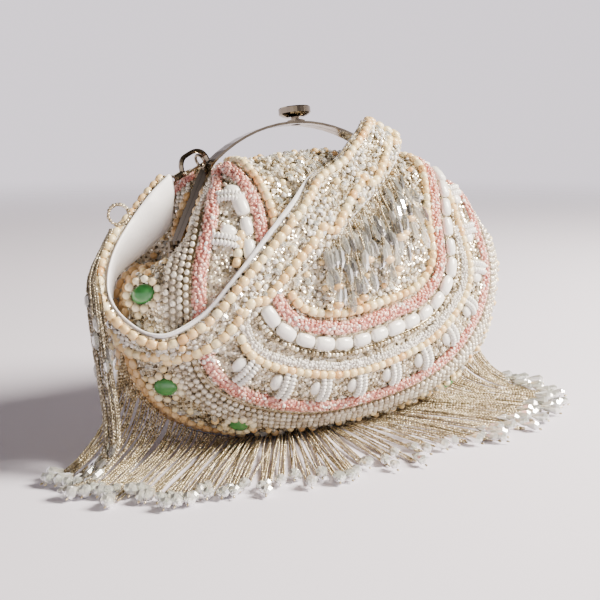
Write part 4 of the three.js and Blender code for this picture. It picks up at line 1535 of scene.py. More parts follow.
    def bands(self) -> tuple[Band, ...]:
        """The rows between the centre and the seam."""
        b = PanelBeads
        lines = [Band(s, b.line, 1.6, 0.2) for s in (0.062, 0.24, 0.405, 0.475, 0.665, 0.92, 1.085)]
        chains = [Band(0.44, b.cup, 2.45, 1.0), Band(1.135, b.chain, 3.7, 1.0)]
        cream = [Band(0.0, b.cream, 4.75, 0.2), Band(0.61, b.cream, 4.75, 0.2)]
        pearls = [Band(s, b.pearl, 3.55, 0.4) for s in (1.2, 1.268, 1.336)]
        edge = [*pearls, Band(1.962, b.amber, 5.2, 0.0)]
        return (*lines, *chains, *cream, *edge, Band(0.325, b.oval, 11.5, 0.2))

    def tube(self, share: float, half_width: float, height: float) -> tuple[Array, Faces]:
        """Lays a soft tube along a row, in one length for each part that shows.

        Args:
            share: the row.
            half_width: half of its width.
            height: its height over the cloth.

        Returns:
            The points and the faces.
        """
        flat, room = self.row(share, self.tube_samples)
        points, normals = self.on_cloth(flat, height * self.tube_seat)
        across = np.cross(normals, unit(np.gradient(points, axis=0)))
        shows = self.shown(points, self.tube_clearance, half_width + 1.6) & (room > 0.5)
        self.taken.append((points[shows], half_width))
        turn = round_angles(self.tube_sides)
        made: list[Array] = []
        faces: Faces = []
        edges = np.flatnonzero(np.diff(np.concatenate([[0], shows.astype(int), [0]])))
        for first, last in edges.reshape(-1, 2).tolist():
            if last - first < self.shortest_tube:
                continue
            faces.extend(closed_rings(len(made) * self.tube_sides, last - first, self.tube_sides))
            for i in range(first, last):
                plump = 1 + 0.05 * math.sin(1.9 * i) + 0.04 * math.sin(0.83 * i + 1)
                if i in (first, last - 1):
                    plump = 0.5
                wide = np.outer(np.cos(turn) * half_width * plump, across[i])
                high = np.outer(np.sin(turn) * height * (1 - self.tube_seat) * plump, normals[i])
                made.append(points[i] + wide + high)
        return np.vstack(made), faces

    def tubes(self) -> None:
        """Makes the soft tubes with the beads sewn on them, and the strips under the stone chains."""
        b = PanelBeads
        plans = (
            TubePlan("pink_tubes", PINK_TUBE, ((0.155, 2.8, 2.9), (1.0, 2.9, 2.9)), b.pink, 1.6),
            TubePlan("lilac_tube", LILAC_TUBE, ((0.527, 2.2, 2.2),), b.lilac, 1.35),
            TubePlan("chain_strips", CHAMPAGNE, ((0.44, 2.2, 1.5), (1.135, 2.2, 1.5))),
        )
        for k, plan in enumerate(plans):
            made: list[Array] = []
            faces: Faces = []
            for row in plan.rows:
                points, rings = self.tube(*row)
                base = sum(len(p) for p in made)
                faces.extend([base + n for n in face] for face in rings)
                made.append(points)
            name, corners = f"{self.name}_{plan.title}", np.vstack(made) * MM
            piece = recalculated(mesh_object(name, corners, faces))
            piece.data.materials.append(self.shop.material(plan.finish))
            finished(piece, "beaded_cloth")
            if plan.bead is None:
                continue
            half = self.tube_sides // 2
            upper = [f for f in faces if len(f) == 4 and f[0] % self.tube_sides < half]
            patch = mesh_object(f"{name}_patch", corners, upper)
            sewn = Filling("beads", plan.bead, plan.spacing, 0.3)
            self.shop.scatter(f"{name}_beads", patch, sewn, self.seed + 40 + k)

    def beadwork(self) -> None:
        """Makes the rows, one piece for each shape and finish."""
        groups: dict[str, tuple[Bead, Setting]] = {}
        for band in self.bands():
            key = f"{band.bead.shape.name}_{band.bead.finish.name}".lower()
            _, setting = groups.setdefault(key, (band.bead, Setting()))
            self.thread(setting, band)
        for k, (key, (bead, setting)) in enumerate(groups.items()):
            slot, nodes = "beaded_cloth", []
            if bead is PanelBeads.oval:
                slot, nodes = "white_glass", [f"oval_row_{self.name}"]
            self.shop.string(f"{self.name}_{key}", setting, bead, self.seed + k, slot, *nodes)

    def ground(self, spacing: float) -> None:
        """Scatters the beads that fill the cloth between the rows, with seeds at a spacing."""
        b = PanelBeads
        fillings = (
            Filling("seeds", b.seed, spacing, 0.6, margin=0.3),
            Filling("middle_cream", b.small_cream, 10.0, 1.5, inside=-0.1),
            Filling("middle_white", b.white, 4.5, 1.2, inside=-0.06),
            Filling("middle_glints", b.glint, 6.5, 1.6, inside=-0.1),
            Filling("low_cream", b.small_cream, 8.0, 1.5, outside=1.4, margin=1.8),
            Filling("low_glints", b.glint, 7.0, 1.6, outside=1.4, margin=1.2),
            Filling("between_pearls", b.chain, 5.0, 1.0, inside=0.9, outside=0.74, margin=1.0),
        )
        for k, fill in enumerate(fillings):
            self.shop.scatter(f"{self.name}_{fill.title}", self.patch(fill), fill, self.seed + 20 + k)

    @staticmethod
    def bundle_shape() -> Piece:
        """A white flat bead with two rolls of white beads beside it, in millimetres."""
        points: list[Triple] = []
        faces: Faces = []

        def put(middle: Triple, size: Triple, sides: int, shape: BeadShape, swap: bool) -> None:
            """Adds one turned bead; swap lays it across the row."""
            first = len(points)
            made, rings = turned(sides, shape.value[2])
            for x, y, z in made:
                p = (y, x, z) if swap else (x, y, z)
                points.append(tuple(a * s + m for a, s, m in zip(p, size, middle)))
            faces.extend([first + n for n in (f[::-1] if swap else f)] for f in rings)

        put((-3.4, 0.6, 0.0), (6.2, 9.0, 4.0), 10, BeadShape.ROUND, False)
        for x in (0.2, 3.7):
            for step in np.arange(8) - 3.5:
                middle = (x, step * 1.8, 2.1 - 0.15 * step**2)
                put(middle, (3.7, 2.2, 4.0), 7, BeadShape.SEED, True)
        return mesh_object("shape_bundle", points, faces)

    def bundles(self) -> None:
        """Sets the white bundles along their row."""
        bead = Bead(BeadShape.OVAL, WHITE, (1.0, 1.0, 1.0), 0.06)
        flat, room = self.row(self.bundle_row)
        points, normals = self.on_cloth(flat, self.bundle_lift)
        along = lengths_along(points)
        anchor = along[np.linalg.norm(flat - np.array(self.bundle_at), axis=1).argmin()]
        at = np.arange(anchor % self.bundle_pitch, along[-1], self.bundle_pitch)
        places, ups, tangents = strung(points, normals, at)
        keep = self.shown(places, self.bundle_clearance, self.bundle_floor)
        keep &= np.interp(at, along, room) > 0.5
        setting = Setting()
        setting.add(places, ups, tangents, bead.size, keep)
        self.taken.append((places[keep], self.bundle_radius))
        shape = self.bundle_shape()
        self.shop.extra.append(shape)
        name = f"{self.name}_white_bundles"
        self.shop.string(name, setting, bead, self.seed + 50, "white_glass", shape=shape)


@dataclass
class SeamRow:
    """The row of beads that covers the seam, from one hinge down and up to the other."""

    shop: Workshop
    above_deg: float = 14
    pitch: float = 4.7
    stand_off: float = 0.8
    bead: Bead = PanelBeads.amber

    def build(self) -> None:
        """Makes the row."""
        low = math.radians(-180 - self.above_deg)
        phi = np.linspace(low, math.radians(self.above_deg), 700)
        line = POUCH.point(-1, np.ones_like(phi), phi, 0)
        line[:, 1] = 0
        line = line + radial(phi) * self.stand_off
        at = spaced(lengths_along(line)[-1], self.pitch)
        places, ups, tangents = strung(line, radial(phi), at)
        places = STANCE.lean(places)
        keep = places[:, 2] > self.bead.size[1] * OFF_FLOOR
        setting = Setting()
        setting.add(places, STANCE.turn(ups), STANCE.turn(tangents), self.bead.size, keep)
        self.shop.string("seam_row", setting, self.bead, 61, "beaded_cloth")


# Stones


@dataclass(frozen=True)
class StonePlace:
    """Where a green stone sits: its direction from the belly, how far out, its turn and its tilt."""

    angle_deg: float
    reach: float
    turn_deg: float
    tilt: float = 0.0


@dataclass(frozen=True)
class StoneRing:
    """Beads round a stone: their kind and number, and how far out and up they sit."""

    bead: Bead
    count: int
    out: float
    lift: float


@dataclass
class Stones:
    """The green stones near the seam, with their rims of pale beads."""

    shop: Workshop
    places: tuple[StonePlace, ...] = (
        StonePlace(171, 0.945, -8, 0.7),
        StonePlace(194, 0.965, -31, 0.25),
        StonePlace(215.5, 0.945, 35),
        StonePlace(9, 0.945, 8, 0.7),
        StonePlace(-14, 0.965, 31, 0.25),
        StonePlace(-35.5, 0.945, -35),
    )
    rim: StoneRing = StoneRing(PanelBeads.petal, 11, 2.2, 1.9)
    edge: StoneRing = StoneRing(PanelBeads.line, 26, 0.5, 1.2)
    lowest: float = 2.6
    # How far the ground's beads keep from the rim's beads and from the stones' corners
    rim_room: float = 2.2
    stone_room: float = 1.5
    length: float = 12.4
    width: float = 9.8
    height: float = 4.2
    girdle: float = 1.2
    sides: int = 28
    rings: int = 6

    def basis(self, side: int, place: StonePlace) -> tuple[Array, Array, Array, Array]:
        """Finds how a stone sits.

        Args:
            side: -1 for the front half and 1 for the back half.
            place: where it sits.

        Returns:
            Its seat, and its long, cross and outward directions, in the upright frame.
        """
        phi = np.array([math.radians(place.angle_deg)])
        reach = np.array([place.reach])
        seat = POUCH.point(side, reach, phi, 0)[0]
        up = unit(POUCH.normal(side, reach, phi, 0)[0] + np.array([0, side * place.tilt, 0]))
        seat = seat + up * 1.6 * place.tilt
        along = np.array([1.0, 0, 0]) - up * up[0]
        if np.linalg.norm(along) < 0.3:
            along = np.array([0, 0, 1.0]) - up * up[2]
        along = unit(along)
        across = np.cross(up, along)
        turn = math.radians(side * place.turn_deg)
        long_way = along * math.cos(turn) + across * math.sin(turn)
        return seat, long_way, np.cross(up, long_way), up

    def oval(self, basis: tuple[Array, ...], count: int, reach: Pair, lift: float) -> Array:
        """Points round an oval over a stone's seat, on the floor's frame.

        Args:
            basis: the stone's seat and its three directions.
            count: how many points.
            reach: half of the oval's length and width.
            lift: how far over the seat.

        Returns:
            The points.
        """
        seat, long_way, cross_way, up = basis
        turn = round_angles(count)
        along = np.outer(np.cos(turn) * reach[0], long_way)
        return STANCE.lean(seat + up * lift + along + np.outer(np.sin(turn) * reach[1], cross_way))

    def build(self, side: int, name: str, panel: Panel) -> None:
        """Makes a panel's stones, their rims and the fine rows at their edges.

        Args:
            side: -1 for the front half and 1 for the back half.
            name: the half's name.
            panel: the half, which is told what room they take.
        """
        points: list[Array] = []
        faces: Faces = []
        settings = (Setting(), Setting())
        for place in self.places:
            basis = self.basis(side, place)
            self._stone(points, faces, basis)
            for setting, kind in zip(settings, (self.rim, self.edge)):
                reach = (self.length / 2 + kind.out, self.width / 2 + kind.out)
                ring = self.oval(basis, kind.count, reach, kind.lift)
                ups = np.tile(STANCE.turn(basis[3]), (kind.count, 1))
                setting.add(ring, ups, round_tangents(ring), kind.bead.size, ring[:, 2] > self.lowest)
        stones = recalculated(mesh_object(f"{name}_stones", np.vstack(points) * MM, faces))
        stones.data.materials.append(self.shop.material(STONE))
        tint = stones.data.attributes.new("tint", "FLOAT", "POINT")
        tint.data.foreach_set("value", np.linspace(0, 1, len(stones.data.vertices)).astype(np.float32))
        finished(stones, "green_stone", *(f"cabochon_{name}_{k + 1}" for k in range(len(self.places))))
        rim_points = settings[0].joined()[0]
        panel.taken.extend([(rim_points, self.rim_room), (np.vstack(points), self.stone_room)])
        self.shop.string(f"{name}_stone_rims", settings[0], self.rim.bead, 71, "beaded_cloth")
        self.shop.string(f"{name}_stone_edges", settings[1], self.edge.bead, 72, "seed_strands")

    def _stone(self, points: list[Array], faces: Faces, basis: tuple[Array, ...]) -> None:
        """Adds one domed stone, flat behind.

        Args:
            points: the points of the stones so far.
            faces: their faces.
            basis: the stone's seat and its three directions.
        """
        first, n = sum(len(p) for p in points), self.sides
        profile = [(1.0, 0.0), (1.0, self.girdle)]
        for k in range(1, self.rings):
            a = k / self.rings * math.pi / 2
            profile.append((math.cos(a), self.girdle + (self.height - self.girdle) * math.sin(a)))
        half = (self.length / 2, self.width / 2)
        grid = [self.oval(basis, n, (r * half[0], r * half[1]), h) for r, h in profile]
        top = STANCE.lean(basis[0] + basis[3] * self.height)
        points.append(np.vstack([*grid, top]))
        faces.extend(ring_faces(first, len(profile), n))
        last = first + (len(profile) - 1) * n
        faces.extend([last + j, last + (j + 1) % n, last + n] for j in range(n))
        faces.append([first + j for j in reversed(range(n))])


# Strap pieces


@dataclass
class StrapWork:
    """The strap's cloth, lining and beadwork."""

    shop: Workshop
    steps: int = 150
    cream_pitch: float = 5.1
    zigzags: float = 9.5

    def cloths(self) -> Material:
        """Makes the padded band and the satin lining, and gives the band's cloth."""
        band = STRAP.shell("strap_padding", self.band_section, self.steps)
        lining = STRAP.shell("strap_satin", self.lining_section, self.steps)
        cloth = ClothFinish.silk("beaded_silk", (0.9, 0.83, 0.68), (0.7, 0.61, 0.46), 0.55, 0.3)
        satin = ClothFinish.silk("white_satin", (0.99, 0.97, 0.99), (0.94, 0.92, 0.95), 0.42, 1.0)
        band.data.materials.append(cloth)
        lining.data.materials.append(satin)
        finished(recalculated(band), "beaded_cloth", "strap_band")
        finished(recalculated(lining), "satin", "strap_lining")
        return cloth

    @staticmethod
    def on_front(s: Array | float) -> Array:
        """From 0 on the free loop to 1 where the strap lies on the bag's front."""
        return smoothstep((np.asarray(s, float) - 0.33) / 0.1)

    @staticmethod
    def crown(t: Array) -> Array:
        """The height of the padded band's outer face across it."""
        return 1.2 + 1.0 * (1 - np.abs(2 * t - 1) ** 4)

    @classmethod
    def band_section(cls, _: float) -> tuple[Array, Array]:
        """The padded band's section, the same all along."""
        across = np.linspace(0.02, 0.98, 11)
        inner = np.full(len(across), GAP / 2)
        return np.concatenate([across, across[::-1]]), np.concatenate([cls.crown(across), inner])

    @classmethod
    def lining_section(cls, s: float) -> tuple[Array, Array]:
        """The lining's section; on the front its upper edge shows as a white piping."""
        rolled = float(cls.on_front(s)) * float(1 - smoothstep(np.asarray((s - 0.6) / 0.12)))
        wide = np.linspace(-0.035 - 0.1 * rolled, 1.035, 13)
        belly = -0.9 - 1.1 * (1 - np.abs(2 * wide - 1).clip(0, 1) ** 6)
        top = np.full(len(wide), -GAP / 2)
        top[0] += 0.9 * rolled
        top[1] += 0.9 * rolled if wide[1] < 0.0 else 0.0
        return np.concatenate([wide, wide[::-1]]), np.concatenate([top, belly[::-1]])

    @staticmethod
    def _row(setting: Setting, bead: Bead, pitch: float, t_of_s: Any, height: float) -> None:
        """Strings beads along the strap.

        Args:
            setting: where the places are added.
            bead: the bead.
            pitch: how far apart the beads are.
            t_of_s: gives the places across the strap at places along it.
            height: how far over its middle surface.
        """
        s = np.linspace(0.006, 0.994, 600)
        points, normals = STRAP.at(s, t_of_s(s), height)
        at = spaced(lengths_along(points)[-1], pitch)
        setting.add(*strung(points, normals, at), bead.size)

    def beadwork(self) -> None:
        """Makes the strap's bead rows and its ground."""
        b = PanelBeads
        cream = Bead(BeadShape.DRUM, CREAM, (4.9, 5.0, 4.7), 0.08)
        rows, lines = Setting(), Setting()

        def zigzag(s: Array) -> Array:
            """The lower row runs to and fro across the edge."""
            return 0.89 - 0.25 * ((s * self.zigzags) % 1)

        self._row(rows, cream, self.cream_pitch, lambda s: 0.01 + 0.1 * self.on_front(s), 3.5)
        self._row(rows, cream, self.cream_pitch, zigzag, 3.6)
        self._cross(rows, cream, 0.875)
        for t in (-0.01, 0.955, 0.985):
            self._row(lines, b.line, 1.6, lambda s, t=t: np.full(s.shape, t), 1.5)
        self.shop.string("strap_cream_beads", rows, cream, 81, "beaded_cloth")
        self.shop.string("strap_silver_lines", lines, b.line, 82, "seed_strands")
        fillings = (
            Filling("seeds", b.seed, 1.45, 0.6),
            Filling("white", b.white, 2.7, 1.2),
            Filling("glints", b.glint, 6.0, 1.5),
            Filling("cream_dots", b.small_cream, 12.0, 1.6),
        )
        for seed, fill in enumerate(fillings, 83):
            patch = self._ground_patch(fill.title == "white")
            self.shop.scatter(f"strap_{fill.title}", patch, fill, seed)

    @staticmethod
    def _cross(setting: Setting, bead: Bead, s: float) -> None:
        """Strings beads across the strap."""
        t = np.linspace(0.16, 0.8, 4)
        points, normals = STRAP.at(np.full(len(t), s), t, 4.2)
        setting.add(points, normals, unit(np.gradient(points, axis=0)), bead.size)

    def _ground_patch(self, clumps: bool) -> Piece:
        """The strap's outer cloth between its edge rows, or only the clumps along it."""
        steps, across = 130, 8
        spans = np.linspace(0.01, 0.99, steps + 1), np.linspace(0.05, 0.95, across + 1)
        s, t = np.meshgrid(*spans, indexing="ij")
        points, _ = STRAP.at(s, t, self.crown(t.ravel()))
        width = across + 1
        faces = []
        for i in range(steps):
            for j in range(across):
                if not clumps or (i / steps * self.zigzags + 0.4 * j / across) % 1 < 0.45:
                    a = i * width + j
                    faces.append([a, a + 1, a + width + 1, a + width])
        return mesh_object("strap_patch", points * MM, faces)


# Strands


class StrandBeads:
    """The kinds of bead on hanging strands."""

    seed = Bead(BeadShape.LINK, CHAMPAGNE, (1.7, 1.36, 1.36), 0.1, 3.1)
    thin = Bead(BeadShape.LINK, CHAMPAGNE, (1.3, 1.2, 1.2), 0.1, 3.1)
    # The tassel's seeds take the darker copy of the champagne finish: painted shade
    shaded_seed = Bead(BeadShape.LINK, SHADED_CHAMPAGNE, (1.6, 1.2, 1.2), 0.1, 3.1)
    # Rice crystals in the darker crystal copy: painted shade and dark reflections
    rice = Bead(BeadShape.RICE, SHADED_CRYSTAL, (10.2, 4.4, 3.6), 0.15, 3.1)
    small_rice = Bead(BeadShape.RICE, SHADED_CRYSTAL, (8.0, 4.0, 3.4), 0.15, 3.1)
    pip = Bead(BeadShape.ROUND, AMBER, (6.4, 4.6, 4.2), 0.15)
    drop = Bead(BeadShape.DROP, CRYSTAL, (9.0, 6.2, 5.4), 0.18, 3.1)
    small_drop = Bead(BeadShape.DROP, CRYSTAL, (6.8, 4.8, 4.2))


def hung(at: Array | float, along: Array, line: Array, reach: float) -> tuple[Array, Array, Array]:
    """Finds the places of beads on a strand.

    Args:
        at: the beads' distances along the strand.
        along: the distances of the strand's points.
        line: the strand's points.
        reach: how far ahead and behind its direction is measured.

    Returns:
        The places, their outward directions and their directions along the strand.
    """
    tangents = unit(along_line(at + reach, along, line) - along_line(at - reach, along, line))
    side = unit(np.cross(tangents, np.array(ASIDE)))
    return along_line(at, along, line), np.cross(side, tangents), tangents


def string_strand(seeds: Setting, line: Array, bead: Bead, gaps: Sequence[Pair]) -> Array:
    """Strings seeds along a strand and leaves gaps for larger beads.

    Args:
        seeds: where the places are added.
        line: the strand's points on the floor's frame.
        bead: the seed.
        gaps: distances from and to which no seed sits.

    Returns:
        The distances of the strand's points along it.
    """
    along = lengths_along(line)
    at = spaced(along[-1], bead.size[0])
    for low, high in gaps:
        at = at[(at < low) | (at > high)]
    seeds.add(*hung(at, along, line, 0.4), bead.size)
    return along


def bead_at(
    setting: Setting, line: Array, along: Array, distance: float, bead: Bead, lowest: float
) -> None:
    """Sets one larger bead on a strand.

    Args:
        setting: where the place is added.
        line: the strand's points.
        along: their distances along it.
        distance: where the bead's middle goes.
        bead: the bead.
        lowest: the least height of its middle.
    """
    place, up, tangent = hung(distance, along, line, 1.5)
    place[2] = max(place[2], lowest)
    setting.add(place[None], up[None], tangent[None], bead.size)


@dataclass
class Fringe:
    """The long bead fringe that hangs from the seam and lies out over the floor."""

    shop: Workshop
    strands: int = 231
    in_group: int = 3
    half_span_deg: float = 88
    filled: float = 0.985
    offset: float = 2.2
    front_start: float = 7
    high_root: float = 34
    bend_at: float = 0.13
    bend_height: float = 0.05
    tips_x: float = 3
    tips_y: float = -14
    tips_left: float = 190.5
    tips_right: float = 157
    tips_depth: float = 100.5
    tips_roundness: float = 2.6
    drop_room: float = 6.5
    drop_back: float = 3.0
    small_drop_share: float = 0.45
    small_drop_range: Pair = (3, 12)
    tip_range: Pair = (-15, 0.5)
    group_gap: float = 1.2
    sway: float = 2.2

    @staticmethod
    def floor_ways(root: Array, tip: Array) -> tuple[Array, Array]:
        """The level directions from a root towards a tip and sideways to that."""
        outward = unit((tip - root) * np.array([1, 1, 0]))
        return outward, np.array([-outward[1], outward[0], 0])

    def ends(self, t: float) -> tuple[Array, Array, Array]:
        """Finds where a strand starts, bends and ends.

        Args:
            t: its place on the seam, from -1 at the left end to 1 at the right one.

        Returns:
            Its root, bend and tip on the floor's frame.
        """
        turn = t * math.radians(self.half_span_deg)
        phi = -math.pi / 2 + turn
        seam = POUCH.point(-1, np.array([1.0]), np.array([phi]), 0)[0]
        seam[1] = 0
        seam += np.array([math.cos(phi), 0, math.sin(phi)]) * self.offset
        root = STANCE.lean(seam)
        power = 2 / self.tips_roundness
        across = math.copysign(abs(math.sin(turn)) ** power, turn)
        tip = np.array([
            self.tips_x + (self.tips_right if across > 0 else self.tips_left) * across,
            self.tips_y - self.tips_depth * abs(math.cos(turn)) ** power,
            0.0,
        ])
        low = 1 - float(smoothstep(np.array(root[2] / self.high_root)))
        root = root + self.floor_ways(root, tip)[0] * self.front_start * low
        bend = root + (tip - root) * self.bend_at
        bend[2] = self.bend_height * root[2]
        return root, bend, tip

    def line(self, t: float, tip: Array, rng: np.random.Generator) -> Array:
        """Draws one strand with a wave of its own.

        Args:
            t: its place on the seam, as for ends.
            tip: where it ends.
            rng: the random numbers.

        Returns:
            Its points, from the seam to its tip.
        """
        s = np.linspace(0, 1, 60)[:, None]
        root, bend, _ = self.ends(t)
        _, sideways = self.floor_ways(root, tip)
        bend = bend + sideways * rng.normal(0, self.sway)
        line = root * (1 - s) ** 2 + 2 * bend * s * (1 - s) + tip * s**2
        wave = rng.uniform(0.5, 2.2) * np.sin(s * rng.uniform(4, 9) + rng.uniform(0, 6)) * s * (1 - s) * 2
        line = line + wave * sideways
        line[:, 2] = np.maximum(line[:, 2], 0.8 + rng.uniform(0, 2.2) * np.sin(math.pi * s[:, 0]))
        return line

    def build(self) -> None:
        """Makes the strands, in groups that share a crystal drop."""
        beads = StrandBeads
        rng = np.random.default_rng(17)
        halves, drops, ends = (Setting(), Setting()), Setting(), Setting()
        groups = self.strands // self.in_group
        step = 2 * self.filled / groups
        for k in range(groups):
            middle = -self.filled + step * (k + 0.5)
            root, _, tip = self.ends(middle + rng.uniform(-0.3, 0.3) * step)
            outward, sideways = self.floor_ways(root, tip)
            tip = tip + outward * rng.uniform(*self.tip_range) + sideways * rng.normal(0, 1.5)
            for n in range(self.in_group):
                t = middle + step * ((n + rng.uniform(0.2, 0.8)) / self.in_group - 0.5)
                aside = sideways * (n - (self.in_group - 1) / 2) * self.group_gap
                end = tip + aside - outward * rng.uniform(0, 5)
                line = self.line(t, end, rng)
                long = lengths_along(line)[-1]
                along = string_strand(halves[k % 2], line, beads.seed, [(long - self.drop_room, long)])
                if n == 1:
                    lowest = 3.5 + rng.uniform(0, 1.0)
                    bead_at(drops, line, along, long - self.drop_back, beads.drop, lowest)
                    bead_at(ends, line + outward * 1.6, along, long, beads.seed, 1.8)
                elif rng.random() < self.small_drop_share:
                    place = long - rng.uniform(*self.small_drop_range)
                    bead_at(drops, line, along, place, beads.small_drop, 3.1)
        self.shop.string("fringe_strands_1", halves[0], beads.seed, 91, "seed_strands", "fringe_skirt")
        self.shop.string("fringe_strands_2", halves[1], beads.seed, 94, "seed_strands")
        self.shop.string("fringe_drops", drops, beads.drop, 92, "seed_strands")
        self.shop.string("fringe_end_seeds", ends, beads.seed, 93, "seed_strands")


@dataclass
class StrapStrands:
    """The short strands that hang from the strap over the front, its left bundle and its bead loop."""

    shop: Workshop
    from_x: float = -34
    to_x: float = 34
    start_z: float = 99.9
    slope: float = 0.62
    longest: float = 47
    count: int = 34
    tassel_route: tuple[Triple, ...] = (
        (-122.5, -2.5, 123), (-129.5, -4.5, 114), (-138, -9, 101),
        (-142.5, -17, 86), (-143, -19, 67), (-142.5, -19.5, 50),
    )
    tassel_fall: tuple[Triple, ...] = (
        (-142, -20, 32), (-145, -21.5, 16), (-159, -26, 7.5), (-182, -32, 4.5),
    )
    # How far from its end a strand's last crystal sits, and half of the gap that a crystal needs
    front_end: float = 5.0
    front_gap: float = 4.6
    tassel_end: float = 4.2
    tassel_gap: float = 3.8
    tassel_strands: int = 21
    tassel_width: float = 3.3
    tassel_depth: float = 5.5
    loop_radius: float = 5.2
    loop_at: Triple = (-118.2, -3, 129.9)
    loop_turn: float = -0.5
    loop_bead: Triple = (1.7, 2.1, 2.1)

    def front(self) -> None:
        """Makes the strands over the front with their crystals."""
        beads = StrandBeads
        rng = np.random.default_rng(29)
        seeds, crystals, ambers = Setting(), Setting(), Setting()
        down = np.linspace(0, 1, 40)
        for k in range(self.count):
            x = self.from_x + (self.to_x - self.from_x) * (k + 0.5) / self.count
            top = self.start_z + self.slope * (x - self.from_x) + 1.0
            long = rng.uniform(0.55, 1.0) * self.longest * (0.8 + 0.2 * k / self.count)
            slant = rng.normal(0.06, 0.12)
            xs = x + slant * long * down + 0.7 * np.sin(down * 6 + k)
            lift = 4.6 + rng.uniform(0.2, 2.6) * np.sin(down * math.pi * 0.6) + 1.2 * (k % 2)
            points, _ = POUCH.over(-1, xs, top - long * down, lift)
            line = STANCE.lean(points)
            total = lengths_along(line)[-1]
            marks = [total - self.front_end]
            if rng.random() < 0.8:
                marks.append(total * rng.uniform(0.25, 0.6))
            gaps = [(m - self.front_gap, m + self.front_gap) for m in marks]
            along = string_strand(seeds, line, beads.thin, gaps)
            for mark in marks:
                bead_at(crystals, line, along, mark, beads.rice, 0.0)
            if k % 4 == 1:
                bead_at(ambers, line, along, total + 2.5, beads.pip, 0.0)
        node = "strap_fringe_front"
        self.shop.string("strap_front_strands", seeds, beads.thin, 101, "seed_strands", node)
        self.shop.string("strap_front_crystals", crystals, beads.rice, 102, "seed_strands")
        self.shop.string("strap_front_ambers", ambers, beads.pip, 106, "seed_strands")

    def tassel(self) -> None:
        """Makes the bundle of strands at the strap's left, its seeds darkened as painted shade."""
        beads = StrandBeads
        rng = np.random.default_rng(31)
        seeds, crystals = Setting(), Setting()
        places = np.linspace(0, 1, 90)
        spread = 0.2 + 0.8 * smoothstep((places - 0.15) / 0.5)
        for k, turn in enumerate(round_angles(self.tassel_strands)):
            falls = k % 3 != 0
            route = np.array(self.tassel_route + (self.tassel_fall if falls else ()), float)
            wide = self.tassel_width * np.cos(turn) * spread
            deep = self.tassel_depth * np.sin(turn) * spread
            offset = np.stack([wide, deep, 0 * places], -1)
            end = rng.uniform(0.8, 1.0)
            line = STANCE.lean(thread_line(route, places * end) + offset)
            line[:, 2] = np.maximum(line[:, 2], 1.0)
            total = lengths_along(line)[-1]
            marks = [total - self.tassel_end]
            if k % 4 == 1:
                marks.append(total * rng.uniform(0.35, 0.6))
            gaps = [(m - self.tassel_gap, m + self.tassel_gap) for m in marks]
            along = string_strand(seeds, line, beads.shaded_seed, gaps)
            for mark in marks:
                bead_at(crystals, line, along, mark, beads.small_rice, 2.7)
        node = "strap_tassel_left"
        self.shop.string("strap_left_strands", seeds, beads.shaded_seed, 103, "seed_strands", node)
        self.shop.string("strap_left_crystals", crystals, beads.small_rice, 104, "seed_strands")

    def loop(self) -> None:
        """Makes the small loop of beads."""
        bead = StrandBeads.seed
        turn = round_angles(round(2 * math.pi * self.loop_radius / bead.size[0]))
        x, z = self.loop_radius * np.cos(turn), self.loop_radius * np.sin(turn)
        c, s = math.cos(self.loop_turn), math.sin(self.loop_turn)
        ring = STANCE.lean(np.stack([c * x, s * x, z], -1) + np.array(self.loop_at))
        setting = Setting()
        setting.add(ring, unit(ring - ring.mean(axis=0)), round_tangents(ring), self.loop_bead)
        self.shop.string("strap_bead_loop", setting, bead, 105, "seed_strands", "bead_loop")


# Studio


@dataclass(frozen=True)
class Lamp:
    """A soft area light: its place and target in metres, its size and its strength."""

    name: str
    place: Triple
    target: Triple
    size: float
    watts: float
    colour: Colour = (1, 1, 1)


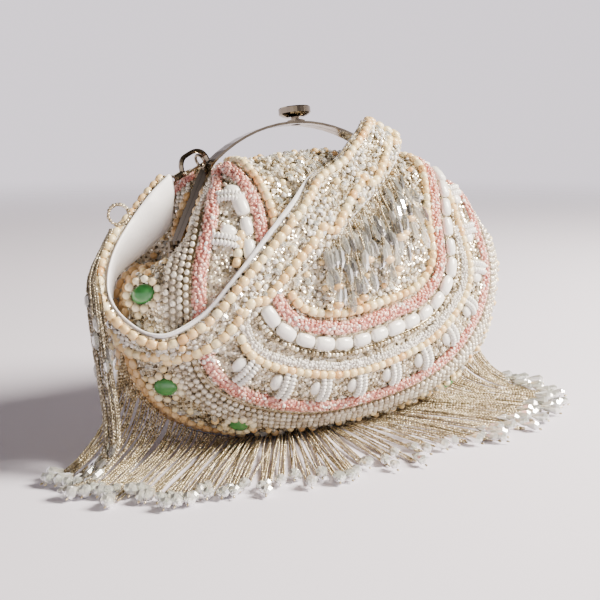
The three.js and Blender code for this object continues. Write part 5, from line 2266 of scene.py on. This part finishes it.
@dataclass
class Studio:
    """Floor, soft light and camera."""

    camera_place: Triple = (-0.35052, -0.47308, 0.1720)
    camera_tilt_deg: float = 79.85
    camera_turn_deg: float = -36
    lens: float = 61.98
    lamps: tuple[Lamp, ...] = (
        Lamp("key", (1.0, -0.82, 1.03), (0, 0, 0.06), 0.7, 128, (1.0, 0.92, 0.79)),
        Lamp("fill", (-0.9, -1.0, 0.7), (0, 0, 0.06), 0.9, 1.2, (1.0, 0.9, 0.78)),
        Lamp("back", (0.2, 1.1, 1.2), (0, 0, 0.08), 0.8, 3, (1.0, 0.92, 0.84)),
    )
    # The sky's colour and strength near the floor's level and overhead, and where it changes
    sky: Colour = (0.86, 0.785, 0.86)
    sky_level: float = 1.6
    overhead: Colour = (1.0, 0.84, 0.68)
    overhead_level: float = 0.08
    change_from: float = 0.12
    change_to: float = 0.38
    # The floor's disc, and where it starts to fade and has gone
    floor_sides: int = 64
    floor_radius: float = 6.0
    clear_from: float = 0.7
    clear_to: float = 2.4

    def build(self) -> None:
        """Makes the floor, the light and the camera."""
        self._floor()
        for lamp in self.lamps:
            self._lamp(lamp)
        self._sky()
        camera = bpy.data.cameras.new("camera")
        camera.sensor_width = 36
        camera.lens = self.lens
        holder = placed("camera", camera)
        holder.location = self.camera_place
        holder.rotation_euler = (math.radians(self.camera_tilt_deg), 0, math.radians(self.camera_turn_deg))
        bpy.context.scene.camera = holder

    def _floor(self) -> None:
        """Makes the plain pale floor."""
        turn = round_angles(self.floor_sides)
        rim = np.stack([np.cos(turn), np.sin(turn), 0 * turn], -1) * self.floor_radius
        floor = mesh_object("floor", rim, [range(self.floor_sides)])
        floor.data.materials.append(ClothFinish.floor(self.clear_from, self.clear_to))

    @staticmethod
    def _lamp(lamp: Lamp) -> None:
        """Hangs one soft light."""
        light = bpy.data.lights.new(lamp.name, "AREA")
        light.shape = "DISK"
        light.size = lamp.size
        light.energy = lamp.watts
        light.color = lamp.colour
        holder = placed(lamp.name, light)
        holder.location = lamp.place
        aim = Vector(lamp.target) - Vector(lamp.place)
        holder.rotation_euler = aim.to_track_quat("-Z", "Y").to_euler()

    def _sky(self) -> None:
        """Lights the scene all round: pale near the floor's level and dim overhead."""
        world = bpy.data.worlds.new("studio")
        bpy.context.scene.world = world
        world.use_nodes = True
        kit = NodeKit(world.node_tree)
        where = kit.add("ShaderNodeTexCoord").outputs["Generated"]
        split = kit.add("ShaderNodeSeparateXYZ", Vector=where)
        rise = kit.soft_step(split.outputs["Z"], self.change_from, self.change_to)
        low = [c * self.sky_level for c in self.sky]
        high = [c * self.overhead_level for c in self.overhead]
        kit.feed(world.node_tree.nodes["Background"], {"Color": kit.blend(rise, low, high)})


class Hardware:
    """The metal frame, lock and clasps."""

    nodes = (
        "frame_front", "frame_back", "hinge_rivet_left", "hinge_rivet_right",
        "lock_knob", "clasp_left", "clasp_lever_left", "clasp_right",
    )

    @classmethod
    def dress(cls, frame: dict[str, Any]) -> None:
        """Gives the metal nodes their finish."""
        nickel = ClothFinish.nickel()
        for name in cls.nodes:
            mesh = frame["nodes"][name].data
            mesh.materials.clear()
            mesh.materials.append(nickel)


def main() -> None:
    """Builds the bag in order."""
    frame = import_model()
    Studio().build()
    Hardware.dress(frame)
    shop = Workshop()
    flat = FlatMap()
    strap = StrapWork(shop)
    silk = strap.cloths()
    strap.beadwork()
    stones = Stones(shop)
    hidden = STRAP.cover_tree()
    for name, side in (("front", -1), ("back", 1)):
        panel = Panel(name, side, shop, flat, hidden if side < 0 else None, seed=200 * (side + 2))
        cloth = panel.cloth()
        cloth.data.materials.append(silk)
        finished(cloth, "beaded_cloth", f"{name}_panel")
        panel.beadwork()
        panel.bundles()
        panel.tubes()
        stones.build(side, name, panel)
        panel.ground(1.5 if side < 0 else 2.0)
    SeamRow(shop).build()
    Fringe(shop).build()
    strands = StrapStrands(shop)
    strands.front()
    strands.tassel()
    strands.loop()
    shop.put_away()


if __name__ == "__main__":
    logging.basicConfig(level=logging.INFO, format="%(message)s")
    main()
